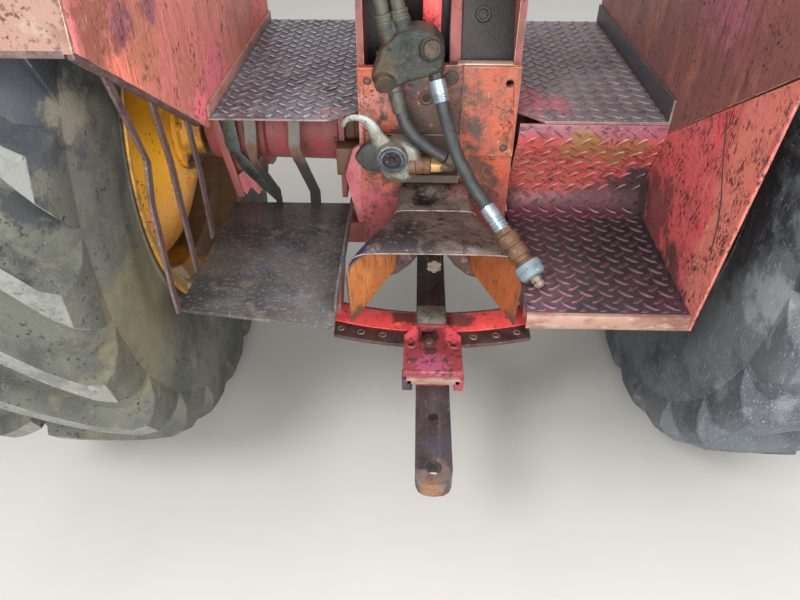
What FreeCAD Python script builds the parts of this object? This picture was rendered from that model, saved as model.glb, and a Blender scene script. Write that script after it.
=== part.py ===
import FreeCAD, Part
import math
import os
import Sketcher

# Rear section of an articulated farm tractor: the rear frame with its tower, the axle and both
# wheels, the fenders, decks and steps, the power take-off, the swinging drawbar and the hydraulics.
# Millimetres. X points to the tractor's right, Y forward and Z up. The origin lies on the
# articulation hinge, so what is behind it has a negative Y.

doc = FreeCAD.newDocument("tractor_rear_section")
V = FreeCAD.Vector

# Driving sizes: name, value, what it is
SIZES = [
    ("axle_back", 950, "hinge axis to the axle's centre line"),
    ("axle_drop", 70, "the axle's centre line below the origin"),
    ("track_half", 830, "middle of the tractor to the middle of a tyre"),
    ("tyre_radius", 820, "axle to the top of a lug"),
    ("tyre_width", 467, "tyre over its side walls"),
    ("lug_height", 36, "lug above the tread's base"),
    ("lug_width", 54, "lug across its bar"),
    ("lug_count", 22, "lugs on each half of a tyre"),
    ("lug_angle", 45, "lug's bar from straight across, in degrees"),
    ("bead_radius", 432, "rim's bead seat"),
    ("rim_half", 215, "half the rim over its flanges"),
    ("rim_lip", 24, "rim flange above the bead seat"),
    ("rim_flange", 13, "rim flange at its foot"),
    ("rim_wall", 10, "rim's sheet"),
    ("rim_well", 38, "depth of the rim's well"),
    ("disc_wall", 14, "wheel disc's sheet"),
    ("disc_hub_radius", 150, "flat middle of the wheel disc"),
    ("disc_dish", 80, "wheel disc's rim edge outboard of its middle"),
    ("disc_inset", 175, "wheel disc's middle inboard of the tyre's middle"),
    ("hub_radius", 92, "wheel hub's barrel"),
    ("hub_length", 64, "wheel hub inboard of the disc"),
    ("spindle_radius", 48, "axle's spindle in the hub"),
    ("fit_gap", 0.3, "clearance of a shaft or seat"),
    ("axle_flats", 24, "flats in a turn of the axle's castings"),
    ("wheel_flats", 36, "flats in a turn of a tyre, rim and disc"),
    ("trumpet_radius", 98, "axle tube"),
    ("housing_radius", 105, "axle's centre housing beside the frame"),
    ("bulge_radius", 148, "axle's centre housing in the middle"),
    ("flange_half", 222, "outer face of the housing's flange"),
    ("tube_end", 575, "middle of the tractor to the axle tube's end"),
    ("hanger_plate", 14, "axle hanger's plate"),
    ("hanger_half", 125, "half an axle hanger along the tractor"),
    ("hanger_low", 215, "axle hanger's foot below the origin"),
    ("tower_half", 179, "half the frame over its side plates"),
    ("side_plate", 16, "frame's side plate"),
    ("tower_rear", 1150, "back face of the frame's rear plate"),
    ("rear_plate", 20, "frame's rear plate"),
    ("rear_plate_top", 156, "rear plate's top edge"),
    ("rear_plate_low", 305, "rear plate's bottom edge below the origin"),
    ("bolt_across", 312, "rear plate's bolt holes, side to side"),
    ("bolt_up", 152, "rear plate's bolt holes, one row to the other"),
    ("bolt_middle", 44, "middle of the bolt holes above the origin"),
    ("bolt_radius", 9, "rear plate's bolt holes"),
    ("tower_top", 430, "side plates' top at the tower"),
    ("frame_top", 170, "side plates' top towards the hinge"),
    ("frame_low", 260, "side plates' bottom below the origin"),
    ("frame_front", 150, "side plates' front end behind the hinge"),
    ("tower_front", 720, "tower's front edge behind the hinge"),
    ("lug_plate", 40, "hinge lug's plate"),
    ("lug_radius", 85, "hinge lug's round end"),
    ("hinge_radius", 30, "hinge bore"),
    ("deck_top", 47, "deck's tread above the origin"),
    ("deck_plate", 6, "deck's sheet"),
    ("deck_rear", 1185, "deck's rear edge"),
    ("deck_front", 425, "deck's front edge"),
    ("deck_corner", 60, "deck's cut inner corner"),
    ("wall_half", 520, "outer face of a fender's wall"),
    ("wall_plate", 6, "fender's sheet"),
    ("fender_top", 930, "fender's top above the origin"),
    ("fender_out", 1075, "fender's outer edge"),
    ("fender_tail", 1676, "fender's lower rear corner"),
    ("fender_tail_z", 346, "fender's lower rear corner above the origin"),
    ("fender_back", 1640, "where the fender's rear panel starts"),
    ("step_top", 207, "steps' tread below the origin"),
    ("step_plate", 8, "steps' sheet"),
    ("step_rear", 1550, "steps' rear edge"),
    ("step_front", 1112, "steps' front edge"),
    ("step_lip", 34, "right step's turned down rear edge"),
    ("step_in", 202, "steps' inner edge"),
    ("pto_drop", 240, "power take-off shaft below the origin"),
    ("pto_end", 1343, "power take-off shaft's rear end"),
    ("pto_radius", 17.5, "power take-off shaft over its splines"),
    ("spline_root", 14.9, "power take-off shaft between its splines"),
    ("spline_count", 6, "splines on the power take-off shaft"),
    ("spline_width", 8.6, "a spline's width"),
    ("carrier_plate", 26, "carrier round the power take-off shaft"),
    ("shield_top", 144, "shield's top below the origin"),
    ("shield_sheet", 5, "shield's sheet"),
    ("shield_neck", 88, "half the shield at its neck"),
    ("shield_mouth", 204, "half the shield at its rear rim"),
    ("shield_rear", 1378, "shield's rear rim"),
    ("shield_bend", 1252, "where the shield widens"),
    ("shield_tip", 383, "shield's side tips below the origin"),
    ("drawbar_top", 445, "drawbar's top face below the origin"),
    ("drawbar_thick", 38, "drawbar's height"),
    ("drawbar_width", 76.2, "drawbar's width"),
    ("drawbar_tip", 1800, "drawbar's rear end"),
    ("drawbar_pivot", 560, "drawbar's front pin"),
    ("hitch_back", 1749, "hitch hole"),
    ("hitch_radius", 16.5, "hitch hole"),
    ("clip_back", 1614, "small hole in the drawbar"),
    ("clip_radius", 11, "small hole in the drawbar"),
    ("support_sheet", 14, "drawbar support's plate"),
    ("support_inner", 700, "support's inner arc from the drawbar's pin"),
    ("support_outer", 848, "support's outer arc from the drawbar's pin"),
    ("support_half", 242, "half the support"),
    ("support_gap", 8, "support's plate above the drawbar"),
    ("support_foot", 60, "foot that holds the support to the frame, its height"),
    ("slide_gap", 6, "clearance between the drawbar's carrier and the support"),
    ("carrier_back", 1535, "drawbar carrier's rear edge"),
    ("carrier_front", 1345, "drawbar carrier's front edge"),
    ("carrier_half", 82, "half the drawbar's carrier"),
    ("carrier_top", 18, "drawbar carrier's top plate"),
    ("kick_height", 50, "dark kick strip beside a deck"),
    ("kick_wall", 5, "dark kick strip beside a deck"),
    ("valve_across", -60, "middle of the valve block to the right of the tractor's middle"),
    ("valve_up", 187, "middle of the valve block above the origin"),
    ("valve_depth", 84, "valve block from the rear plate to its back face"),
    ("pipe_radius", 14, "supply pipes"),
    ("hose_radius", 14, "hoses"),
    ("crimp_radius", 17.5, "crimped sleeves on the hoses"),
    ("cap_radius", 32, "ring cap on the long hose's end"),
    ("coupler_radius", 36, "coupler's round body"),
    ("coupler_across", -97, "coupler's middle to the right of the tractor's middle"),
    ("coupler_up", -30, "coupler's middle above the origin"),
    ("coupler_rear", 1246, "coupler's back face"),
    ("coupler_seat", 8, "coupler bracket's upright plate"),
    ("post_width", 38, "red post in the tower"),
    ("cover_wall", 8, "dark cover in the tower"),
    ("cover_boss", 30, "round boss on the dark cover"),
]

sheet = doc.addObject("Spreadsheet::Sheet", "dims")
for row, (alias, value, note) in enumerate(SIZES, 1):
    sheet.set(f"A{row}", alias)
    sheet.set(f"B{row}", str(value))
    sheet.set(f"C{row}", note)
    sheet.setAlias(f"B{row}", alias)
doc.recompute()


class Size:
    """A length from the sheet, with its value now and the formula that follows the sheet."""

    def __init__(self, value, formula):
        self.value = float(value)
        self.formula = formula

    def __add__(self, other):
        other = as_size(other)
        return Size(self.value + other.value, f"({self.formula} + {other.formula})")

    def __sub__(self, other):
        other = as_size(other)
        return Size(self.value - other.value, f"({self.formula} - {other.formula})")

    def __mul__(self, other):
        other = as_size(other)
        return Size(self.value * other.value, f"({self.formula} * {other.formula})")

    def __truediv__(self, other):
        other = as_size(other)
        return Size(self.value / other.value, f"({self.formula} / {other.formula})")

    def __neg__(self):
        return self * -1

    def __radd__(self, other):
        return as_size(other) + self

    def __rsub__(self, other):
        return as_size(other) - self

    def __rmul__(self, other):
        return as_size(other) * self


def as_size(number):
    """A plain number as a Size, or the Size itself."""
    if isinstance(number, Size):
        return number
    return Size(number, f"({number})")


def root(size):
    """The square root of a Size."""
    return Size(math.sqrt(size.value), f"sqrt({size.formula})")


class Sheet:
    """The sheet's cells by name, as Sizes."""


d = Sheet()
for alias, value, note in SIZES:
    setattr(d, alias, Size(sheet.get(alias), f"dims.{alias}"))

AXLE_Y = -d.axle_back
AXLE_Z = -d.axle_drop
AXLE_FLATS = round(d.axle_flats.value)
WHEEL_FLATS = round(d.wheel_flats.value)
HOSE_FLATS = 8
NODES = []


def node(thing, name):
    """Give an object its node's name and count it as a piece of the part."""
    thing.Label = name
    NODES.append(thing)
    return thing


def bind(thing, **sizes):
    """Tie an object's properties to the sheet."""
    for name, value in sizes.items():
        thing.setExpression(name, as_size(value).formula)


def seat(thing, x, y, z):
    """Tie an object's place to the sheet."""
    for letter, value in zip("xyz", (x, y, z)):
        thing.setExpression(f"Placement.Base.{letter}", as_size(value).formula)


def box(name, x, y, z):
    """A block between two values on each axis."""
    block = doc.addObject("Part::Box", name)
    bind(block, Length=x[1] - x[0], Width=y[1] - y[0], Height=z[1] - z[0])
    seat(block, x[0], y[0], z[0])
    return block


TURNS = {
    "X": FreeCAD.Rotation(V(0, 1, 0), 90),
    "Y": FreeCAD.Rotation(V(1, 0, 0), -90),
    "Z": FreeCAD.Rotation(),
}


def rod(name, axis, radius, start, end, centre):
    """A round bar along an axis, from start to end, about a centre on the other two axes."""
    bar = doc.addObject("Part::Cylinder", name)
    bar.Placement = FreeCAD.Placement(V(), TURNS[axis])
    bind(bar, Radius=radius, Height=as_size(end) - start)
    place = list(centre)
    place.insert("XYZ".index(axis), start)
    seat(bar, *place)
    return bar


def cut(name, base, *tools):
    """A piece less one or more tools."""
    tool = tools[0] if len(tools) == 1 else fuse(name + "_tools", *tools)
    made = doc.addObject("Part::Cut", name)
    made.Base = base
    made.Tool = tool
    return made


def fuse(name, *pieces):
    """Several solids as one."""
    made = doc.addObject("Part::MultiFuse", name)
    made.Shapes = list(pieces)
    return made


PLANES = {"XY": ("XY_Plane", 1), "XZ": ("XZ_Plane", -1), "YZ": ("YZ_Plane", 1)}


def new_body(name):
    body = doc.addObject("PartDesign::Body", name)
    body.Label = name
    return body


def new_sketch(body, plane, offset, origin=(0, 0)):
    """A sketch on one of the body's planes, moved along the plane's normal and in the plane."""
    role, way = PLANES[plane]
    support = [item for item in body.Origin.OriginFeatures if item.Role == role][0]
    sketch = body.newObject("Sketcher::SketchObject", body.Name + "_sketch")
    sketch.AttachmentSupport = [(support, "")]
    sketch.MapMode = "FlatFace"
    places = (origin[0], origin[1], as_size(offset) * way)
    for letter, value in zip("xyz", places):
        sketch.setExpression(f"AttachmentOffset.Base.{letter}", as_size(value).formula)
    return sketch


def fix(sketch, kind, geometry, value):
    """A dimension in a sketch, tied to the sheet."""
    value = as_size(value)
    index = sketch.addConstraint(Sketcher.Constraint(kind, *geometry, value.value))
    sketch.setExpression(f"Constraints[{index}]", value.formula)


def draw_loop(sketch, points):
    """A closed outline of (across, up), or (across, up, radius, side) where an arc leads there."""
    corners = [(as_size(point[0]), as_size(point[1])) for point in points]
    first = sketch.GeometryCount
    starts = []
    for number, point in enumerate(points):
        begin = V(corners[number - 1][0].value, corners[number - 1][1].value, 0)
        end = V(corners[number][0].value, corners[number][1].value, 0)
        if len(point) == 2:
            sketch.addGeometry(Part.LineSegment(begin, end), False)
            starts.append((1, 2))
            continue
        radius, side = as_size(point[2]), point[3]
        chord = end - begin
        across = V(-chord.y, chord.x, 0).normalize()
        rise = math.sqrt(max(radius.value ** 2 - (chord.Length / 2) ** 2, 0))
        middle = begin + chord * 0.5 + across * (rise * side)
        angles = [math.atan2(spot.y - middle.y, spot.x - middle.x) for spot in (begin, end)]
        if side < 0:
            angles.reverse()
        circle = Part.Circle(middle, V(0, 0, 1), radius.value)
        sketch.addGeometry(Part.ArcOfCircle(circle, angles[0], angles[1]), False)
        starts.append((1, 2) if side > 0 else (2, 1))
    count = len(points)
    for number in range(count):
        following = (number + 1) % count
        ends = (first + number, starts[number][1], first + following, starts[following][0])
        sketch.addConstraint(Sketcher.Constraint("Coincident", *ends))
    for number, point in enumerate(points):
        spot = (-1, 1, first + number, starts[number][1])
        fix(sketch, "DistanceX", spot, corners[number][0])
        fix(sketch, "DistanceY", spot, corners[number][1])
        if len(point) == 4:
            fix(sketch, "Radius", (first + number,), point[2])


def draw_hole(sketch, across, up, radius):
    """A circle in a sketch."""
    across, up, radius = as_size(across), as_size(up), as_size(radius)
    circle = Part.Circle(V(across.value, up.value, 0), V(0, 0, 1), radius.value)
    index = sketch.addGeometry(circle, False)
    fix(sketch, "Radius", (index,), radius)
    fix(sketch, "DistanceX", (-1, 1, index, 3), across)
    fix(sketch, "DistanceY", (-1, 1, index, 3), up)


def plate(name, plane, span, outline, holes=(), slots=()):
    """A sheet or block: an outline with holes and cut-outs, padded between two values."""
    body = new_body(name)
    start = span[1] if plane == "XZ" else span[0]
    sketch = new_sketch(body, plane, start)
    draw_loop(sketch, outline)
    for hole in holes:
        draw_hole(sketch, *hole)
    for slot in slots:
        draw_loop(sketch, slot)
    pad = body.newObject("PartDesign::Pad", name + "_pad")
    pad.Profile = sketch
    bind(pad, Length=as_size(span[1]) - span[0])
    body.Tip = pad
    return body


def rectangle(left, right, low, high):
    return [(left, low), (right, low), (right, high), (left, high)]


def turned(name, outline, axis_y=AXLE_Y, axis_z=AXLE_Z):
    """A round piece about a line along X: an outline of (x, radius) revolved in a whole turn."""
    body = new_body(name)
    sketch = new_sketch(body, "XY", axis_z, (0, axis_y))
    draw_loop(sketch, outline)
    spin = body.newObject("PartDesign::Revolution", name + "_turn")
    spin.Profile = sketch
    spin.ReferenceAxis = (sketch, ["H_Axis"])
    spin.Angle = 360
    body.Tip = spin
    return body


def flats_loop(across, up, radius, sides):
    """Corners of a regular outline whose flats lie at a radius."""
    reach = as_size(radius) * (1 / math.cos(math.pi / sides))
    corners = []
    for number in range(sides):
        angle = 2 * math.pi * number / sides
        corners.append((across + reach * round(math.sin(angle), 9), up + reach * round(math.cos(angle), 9)))
    return corners


def closed_solid(faces):
    """A solid from flat faces that meet edge to edge."""
    shell = Part.makeShell(faces)
    shell.sewShape()
    solid = Part.makeSolid(shell)
    if solid.Volume < 0:
        solid.reverse()
    return solid


def flat_face(corners):
    """A flat face from its corners; corners that coincide count once."""
    kept = [spot for number, spot in enumerate(corners) if spot.distanceToPoint(corners[number - 1]) > 1e-6]
    return Part.Face(Part.makePolygon(kept + kept[:1]))


def feature(name, shape):
    """A shape of Part's own functions as an object of the document."""
    made = doc.addObject("Part::Feature", name)
    made.Shape = shape
    made.Placement = FreeCAD.Placement()
    return made


def ring_of_flats(name, outline, sides):
    """A round piece about the axle's line, made of flats: an outline of (x, radius) at each corner."""
    step = 2 * math.pi / sides
    spokes = []
    for number in range(sides):
        back = math.sin(step * number) / math.cos(step / 2)
        up = math.cos(step * number) / math.cos(step / 2)
        spoke = []
        for x, radius in outline:
            x, radius = as_size(x).value, as_size(radius).value
            spoke.append(V(x, AXLE_Y.value + radius * back, AXLE_Z.value + radius * up))
        spokes.append(spoke)
    faces = []
    for number, spoke in enumerate(spokes):
        last = spokes[number - 1]
        for corner in range(len(outline)):
            spots = [last[corner - 1], last[corner], spoke[corner], spoke[corner - 1]]
            if max(as_size(outline[corner][1]).value, as_size(outline[corner - 1][1]).value) > 0:
                faces.append(flat_face(spots))
    return feature(name, closed_solid(faces).removeSplitter())


def mirror(source, name):
    """The same piece on the tractor's other side."""
    made = doc.addObject("Part::Mirroring", name)
    made.Source = source
    made.Base = V()
    made.Normal = V(1, 0, 0)
    return made


def compound(name, *pieces):
    """Like pieces on one body that share a node."""
    made = doc.addObject("Part::Compound", name)
    made.Links = list(pieces)
    return made


def sided(side, low, high):
    """A span on the right, or its mirror on the left."""
    if side > 0:
        return low, high
    return -as_size(high), -as_size(low)


SIDES = [("left", -1), ("right", 1)]


# Frame: two side plates, the rear plate with its overlay, cross plates and the hinge's lugs

def frame_side(name, side):
    outline = [
        (-d.frame_front, -d.frame_low),
        (-d.frame_front, d.frame_top),
        (-d.tower_front, d.frame_top),
        (-d.tower_front - 120, d.tower_top),
        (-d.tower_rear + d.rear_plate, d.tower_top),
        (-d.tower_rear + d.rear_plate, -d.rear_plate_low),
        (-d.tower_rear + 130, -d.rear_plate_low),
    ]
    seat_hole = flats_loop(AXLE_Y, AXLE_Z, d.housing_radius + d.fit_gap, AXLE_FLATS)
    span = sided(side, d.tower_half - d.side_plate, d.tower_half)
    return node(plate(name, "YZ", span, outline, slots=[seat_hole]), name)


def bolt_holes(sides):
    """The rear plate's bolt holes on the sides asked for."""
    rows = (d.bolt_middle - d.bolt_up / 2, d.bolt_middle + d.bolt_up / 2)
    return [(d.bolt_across / 2 * side, up, d.bolt_radius) for side in sides for up in rows]


def rear_plate():
    name = "frame_rear_plate"
    edge = d.tower_half
    outline = [
        (-edge, -d.rear_plate_low),
        (edge, -d.rear_plate_low),
        (edge, d.rear_plate_top),
        (edge - 60, d.rear_plate_top + 4),
        (-edge, d.rear_plate_top - 8),
    ]
    span = (-d.tower_rear, -d.tower_rear + d.rear_plate)
    return node(plate(name, "XZ", span, outline, bolt_holes((-1, 1))), name)


def overlay_plate():
    name = "frame_overlay_plate"
    outline = rectangle(54, d.tower_half, -52, d.rear_plate_top)
    span = (-d.tower_rear - 8, -d.tower_rear)
    return node(plate(name, "XZ", span, outline, bolt_holes((1,))), name)


def cross_plates():
    inside = d.tower_half - d.side_plate
    front = box("cross_front", (-inside, inside), (-d.frame_front - 60, -d.frame_front - 44),
                (-d.frame_low, d.frame_top))
    belly = box("cross_belly", (-inside, inside), (-d.tower_front + 60, -d.frame_front - 80),
                (-d.frame_low, -d.frame_low + d.side_plate))
    shelf = box("cross_shelf", (-inside, inside), (-d.tower_rear + d.rear_plate, -d.tower_rear + 130),
                (d.rear_plate_top - 40, d.rear_plate_top - 28))
    back = box("cross_back", (-inside, inside), (-d.tower_rear + 130, -d.tower_rear + 142),
               (d.rear_plate_top - 60, d.tower_top - 20))
    post = box("cross_post", (-36, d.post_width - 36), (-d.tower_rear + 42, -d.tower_rear + 58),
               (d.rear_plate_top - 28, d.tower_top - 20))
    inner = fuse("cross_shelf_post", shelf, post, back)
    return node(compound("frame_cross_plates", front, belly, inner), "frame_cross_plates")


def hinge_lugs():
    outline = [(-d.tower_half, -d.frame_front), (d.tower_half, -d.frame_front)]
    chords = 8
    for number in range(chords + 1):
        angle = math.pi * number / chords
        outline.append((d.lug_radius * round(math.cos(angle), 9), d.lug_radius * round(math.sin(angle), 9)))
    holes = [(0, 0, d.hinge_radius)]
    upper = plate("hinge_lug_upper", "XY", (d.frame_top - d.lug_plate, d.frame_top), outline, holes)
    lower = plate("hinge_lug_lower", "XY", (-d.frame_low, -d.frame_low + d.lug_plate), outline, holes)
    return node(compound("hinge_lugs", upper, lower), "hinge_lugs")


for word, way in SIDES:
    frame_side("frame_side_" + word, way)
rear_plate()
overlay_plate()
cross_plates()
hinge_lugs()


# Axle: centre housing through the frame, a tube to each side with its spindle, and the hangers

def axle_housing():
    half = [
        (d.flange_half, 0),
        (d.flange_half, d.housing_radius),
        (150, d.housing_radius),
        (105, d.bulge_radius),
    ]
    mirror_half = [(-point[0], point[1]) for point in reversed(half)]
    made = ring_of_flats("axle_center_housing", half + mirror_half, AXLE_FLATS)
    return node(made, "axle_center_housing")


def axle_tube():
    """The right tube: a tapered casting with its end collar, and the round spindle."""
    spindle_end = d.track_half - d.disc_inset - 12
    outline = [
        (d.flange_half, 0),
        (d.tube_end, 0),
        (d.tube_end, d.trumpet_radius - 14),
        (d.tube_end - 80, d.trumpet_radius - 10),
        (d.tube_end - 90, d.trumpet_radius),
        (d.flange_half, d.trumpet_radius),
    ]
    casting = ring_of_flats("tube_casting", outline, AXLE_FLATS)
    spindle = rod("tube_spindle", "X", d.spindle_radius, d.tube_end - 1, spindle_end, (AXLE_Y, AXLE_Z))
    return node(fuse("axle_tube_right", casting, spindle), "axle_tube_right")


def axle_brackets():
    """A hanger plate and a fender bracket round each axle tube."""
    hole = flats_loop(AXLE_Y, AXLE_Z, d.trumpet_radius + d.fit_gap, AXLE_FLATS)
    foot = d.deck_top - d.deck_plate
    inner = d.wall_half - d.wall_plate - 40
    hanger = (d.flange_half + d.fit_gap, d.flange_half + d.hanger_plate)
    # name, span across, half length, lowest point
    table = [
        ("axle_hanger", hanger, d.hanger_half, -d.hanger_low),
        ("fender_bracket", (inner, inner + 34), d.hanger_half - 15, AXLE_Z - 120),
    ]
    plates = []
    for name, span, half, low in table:
        outline = rectangle(AXLE_Y - half, AXLE_Y + half, low, foot)
        right = plate(name, "YZ", span, outline, slots=[hole])
        plates += [right, mirror(right, name + "_left")]
    return node(compound("axle_brackets", *plates), "axle_brackets")


axle_housing()
tube = axle_tube()
node(mirror(tube, "axle_tube_left"), "axle_tube_left")
axle_brackets()


# Wheels: tyre with its lugs, rim, dished disc and hub

def tyre():
    """The right tyre: a ring of flats, and the lugs' bars over both halves of its tread."""
    name = "tyre_right"
    middle = d.track_half
    half = d.tyre_width / 2
    base = d.tyre_radius - d.lug_height - 8
    bead = d.bead_radius + d.fit_gap
    seat_half = d.rim_half - d.rim_flange - d.fit_gap
    side_line = [
        (seat_half, bead),
        (seat_half + 2, bead + d.rim_lip + 4),
        (half, bead + 170),
        (half - 14, base - 102),
        (half - 60, base),
    ]
    outline = side_line + [(-point[0], point[1]) for point in reversed(side_line)]
    outline = [(middle + point[0], point[1]) for point in outline]
    body = new_body(name)
    body.BaseFeature = ring_of_flats(name + "_carcass", outline, WHEEL_FLATS)
    add_lugs(body, name, middle)
    return node(body, name)


def add_lugs(body, name, middle):
    """Bars that lean back from the middle of the tread to each shoulder, the two halves staggered."""
    lean = math.radians(d.lug_angle.value)
    reach = (d.tyre_width / 2 - 6) * (1 / math.cos(lean))

    def along(share, drop):
        """A point of a bar's outline: a share of its reach, and its drop below the lugs' radius."""
        out = reach * share
        back = out * math.sin(lean)
        radius = d.tyre_radius - drop
        return out, root(radius * radius - back * back)

    sole = d.lug_height + 60
    bar_outline = [
        along(-0.05, sole),
        along(0.75, sole),
        along(1, sole + 50),
        along(1, 104),
        along(0.94, 24),
        along(0.74, 5),
        along(0.4, 1),
        along(-0.05, 0),
    ]
    pads = []
    for number, way in enumerate((-1, 1)):
        points = [(point[0] * -way, point[1]) for point in bar_outline]
        if way > 0:
            points.reverse()
        bar = new_sketch(body, "XZ", AXLE_Y, (middle, AXLE_Z))
        stagger = FreeCAD.Rotation(V(1, 0, 0), number * 180 / d.lug_count.value)
        yaw = FreeCAD.Rotation(V(0, 1, 0), way * d.lug_angle.value)
        bar.AttachmentOffset = FreeCAD.Placement(bar.AttachmentOffset.Base, stagger * yaw)
        draw_loop(bar, points)
        pad = body.newObject("PartDesign::Pad", f"{name}_bar_{number}")
        pad.Profile = bar
        pad.Midplane = True
        bind(pad, Length=d.lug_width)
        pads.append(pad)
    axle_line = new_sketch(body, "XY", AXLE_Z, (middle, AXLE_Y))
    axle_line.addGeometry(Part.LineSegment(V(), V(d.hub_length.value, 0, 0)), True)
    ring = body.newObject("PartDesign::PolarPattern", name + "_lugs")
    ring.Originals = pads
    ring.Axis = (axle_line, ["H_Axis"])
    ring.Angle = 360
    bind(ring, Occurrences=d.lug_count)
    body.Tip = ring


def about_wheel(points):
    """An outline given outboard from the tyre's middle, moved to the right wheel."""
    return [(d.track_half + point[0], point[1]) for point in points]


def rim():
    name = "rim_right"
    bed = d.bead_radius
    half = d.rim_half
    outer = [
        (half, bed + d.rim_lip),
        (half - 9, bed + d.rim_lip),
        (half - d.rim_flange, bed),
        (half - 66, bed),
        (half - 88, bed - d.rim_well),
    ]
    inner = [(-half, bed - d.rim_wall), (-half + 84, bed - d.rim_well - d.rim_wall)]
    outline = outer + [(-point[0], point[1]) for point in reversed(outer)]
    outline += inner + [(-point[0], point[1]) for point in reversed(inner)]
    return node(ring_of_flats(name, about_wheel(outline), WHEEL_FLATS), name)


def disc():
    name = "wheel_disc_right"
    inset = -d.disc_inset
    wall = d.disc_wall
    edge = d.bead_radius - d.rim_well - d.rim_wall
    dish = inset + d.disc_dish
    outline = [
        (inset, d.spindle_radius + 14),
        (inset, d.disc_hub_radius),
        (dish, edge - 44),
        (dish + 50, edge),
        (dish + 50 + wall, edge),
        (dish + wall, edge - 54),
        (inset + wall, d.disc_hub_radius - 6),
        (inset + wall, d.spindle_radius + 14),
    ]
    return node(ring_of_flats(name, about_wheel(outline), WHEEL_FLATS), name)


def hub():
    name = "wheel_hub_right"
    inset = -d.disc_inset
    bore = d.spindle_radius + d.fit_gap
    outline = [
        (inset, 0),
        (inset, d.disc_hub_radius - 10),
        (inset - 18, d.disc_hub_radius - 10),
        (inset - 24, d.hub_radius),
        (inset - d.hub_length, d.hub_radius - 6),
        (inset - d.hub_length, 0),
    ]
    casting = ring_of_flats("hub_casting", about_wheel(outline), AXLE_FLATS)
    end = d.track_half - d.disc_inset
    hole = rod("hub_bore", "X", bore, end - d.hub_length - 1, end + 1, (AXLE_Y, AXLE_Z))
    return node(cut(name, casting, hole), name)


for wheel_piece in (tyre(), rim(), disc(), hub()):
    left_name = wheel_piece.Label.replace("right", "left")
    node(mirror(wheel_piece, left_name), left_name)


# Fenders: a wall on the inside of each wheel and a cover over it

def fender_line(sheet_in):
    """The cover's line from the wall's lower rear corner up, over and down to its front edge."""
    back = sheet_in
    return [
        (-d.fender_tail + back, d.fender_tail_z),
        (-d.fender_back + back, d.fender_tail_z + 330),
        (-d.fender_back + 330, d.fender_top - back),
        (-d.deck_front - 130, d.fender_top - back),
        (-d.deck_front - back, d.fender_top - 110),
    ]


def fender_wall(name, side):
    line = fender_line(d.wall_plate)
    outline = [
        (-d.deck_rear, d.deck_top - 24),
        (-d.deck_front, d.deck_top - 24),
        *reversed(line),
    ]
    span = sided(side, d.wall_half - d.wall_plate, d.wall_half)
    return node(plate(name, "YZ", span, outline), name)


def fender_cover(name, side):
    outer = fender_line(as_size(0))
    inner = fender_line(d.wall_plate)
    outline = outer + list(reversed(inner))
    span = sided(side, d.wall_half - d.wall_plate, d.fender_out)
    outline.reverse()
    return node(plate(name, "YZ", span, outline), name)


def deck(name, side):
    edge = d.tower_half
    out = d.wall_half - d.wall_plate
    outline = [
        (edge, -d.deck_front),
        (out, -d.deck_front),
        (out, -d.deck_rear),
        (edge + d.deck_corner, -d.deck_rear),
        (edge, -d.deck_rear + d.deck_corner),
    ]
    points = [(point[0] * side, point[1]) for point in outline]
    tread = plate(name + "_tread", "XY", (d.deck_top - d.deck_plate, d.deck_top), points)
    strip = box(name + "_strip", sided(side, out - d.kick_wall, out), (-d.deck_rear, -d.deck_front),
                (d.deck_top - 1, d.deck_top + d.kick_height))
    return node(fuse(name, tread, strip), name)


for word, way in SIDES:
    fender_wall("fender_wall_" + word, way)
    fender_cover("fender_cover_" + word, way)
    deck("deck_" + word, way)


# Steps: the right one is a folded tread plate with a closed side, the left one hangs on straps

def step_right():
    name = "step_right"
    sheet_wall = d.deck_plate
    top = -d.step_top
    outer = [
        (-d.deck_rear - 0.2, d.deck_top),
        (-d.deck_rear - 0.2, d.deck_top - 30),
        (-d.step_front - 10, top + 90),
        (-d.step_front, top + 30),
        (-d.step_front - 28, top),
        (-d.step_rear + 6, top),
        (-d.step_rear, top - 6),
        (-d.step_rear, top - d.step_lip),
    ]
    inner = [
        (-d.step_rear + sheet_wall, top - d.step_lip),
        (-d.step_rear + sheet_wall, top - sheet_wall),
        (-d.step_front - 26, top - sheet_wall),
        (-d.step_front + sheet_wall, top + 28),
        (-d.step_front + sheet_wall - 10, top + 92),
        (-d.deck_rear + sheet_wall, d.deck_top - 32),
        (-d.deck_rear + sheet_wall, d.deck_top - d.deck_plate),
        (-d.deck_rear - 0.2, d.deck_top - d.deck_plate),
    ]
    span = (d.step_in, d.wall_half - d.wall_plate)
    return node(plate(name, "YZ", span, outer + inner), name)


def side_guard():
    name = "side_guard_right"
    span = (d.wall_half - d.wall_plate, d.wall_half)
    outline = [
        (-d.deck_rear, d.deck_top - 24),
        (-d.step_front, -d.step_top + 60),
        (-d.step_front, -d.step_top - d.step_lip),
        (-d.step_rear, -d.step_top - d.step_lip),
        (-d.step_rear, 240),
    ]
    return node(plate(name, "YZ", span, outline), name)


def step_left():
    name = "step_left"
    top = -d.step_top
    inner = -d.step_in
    outer = -d.wall_half + d.wall_plate
    outline = [
        (outer, -d.step_rear + 22),
        (inner - 40, -d.step_rear - 10),
        (inner, -d.step_rear + 6),
        (inner, -d.step_front),
        (outer, -d.step_front),
    ]
    tread = plate("step_left_tread", "XY", (top - d.step_plate, top), outline)
    upstand = box("step_left_upstand", (inner - d.deck_plate, inner), (-d.step_rear + 6, -d.step_front),
                  (top - 1, top + d.step_lip - 8))
    return node(fuse(name, tread, upstand), name)


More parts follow.
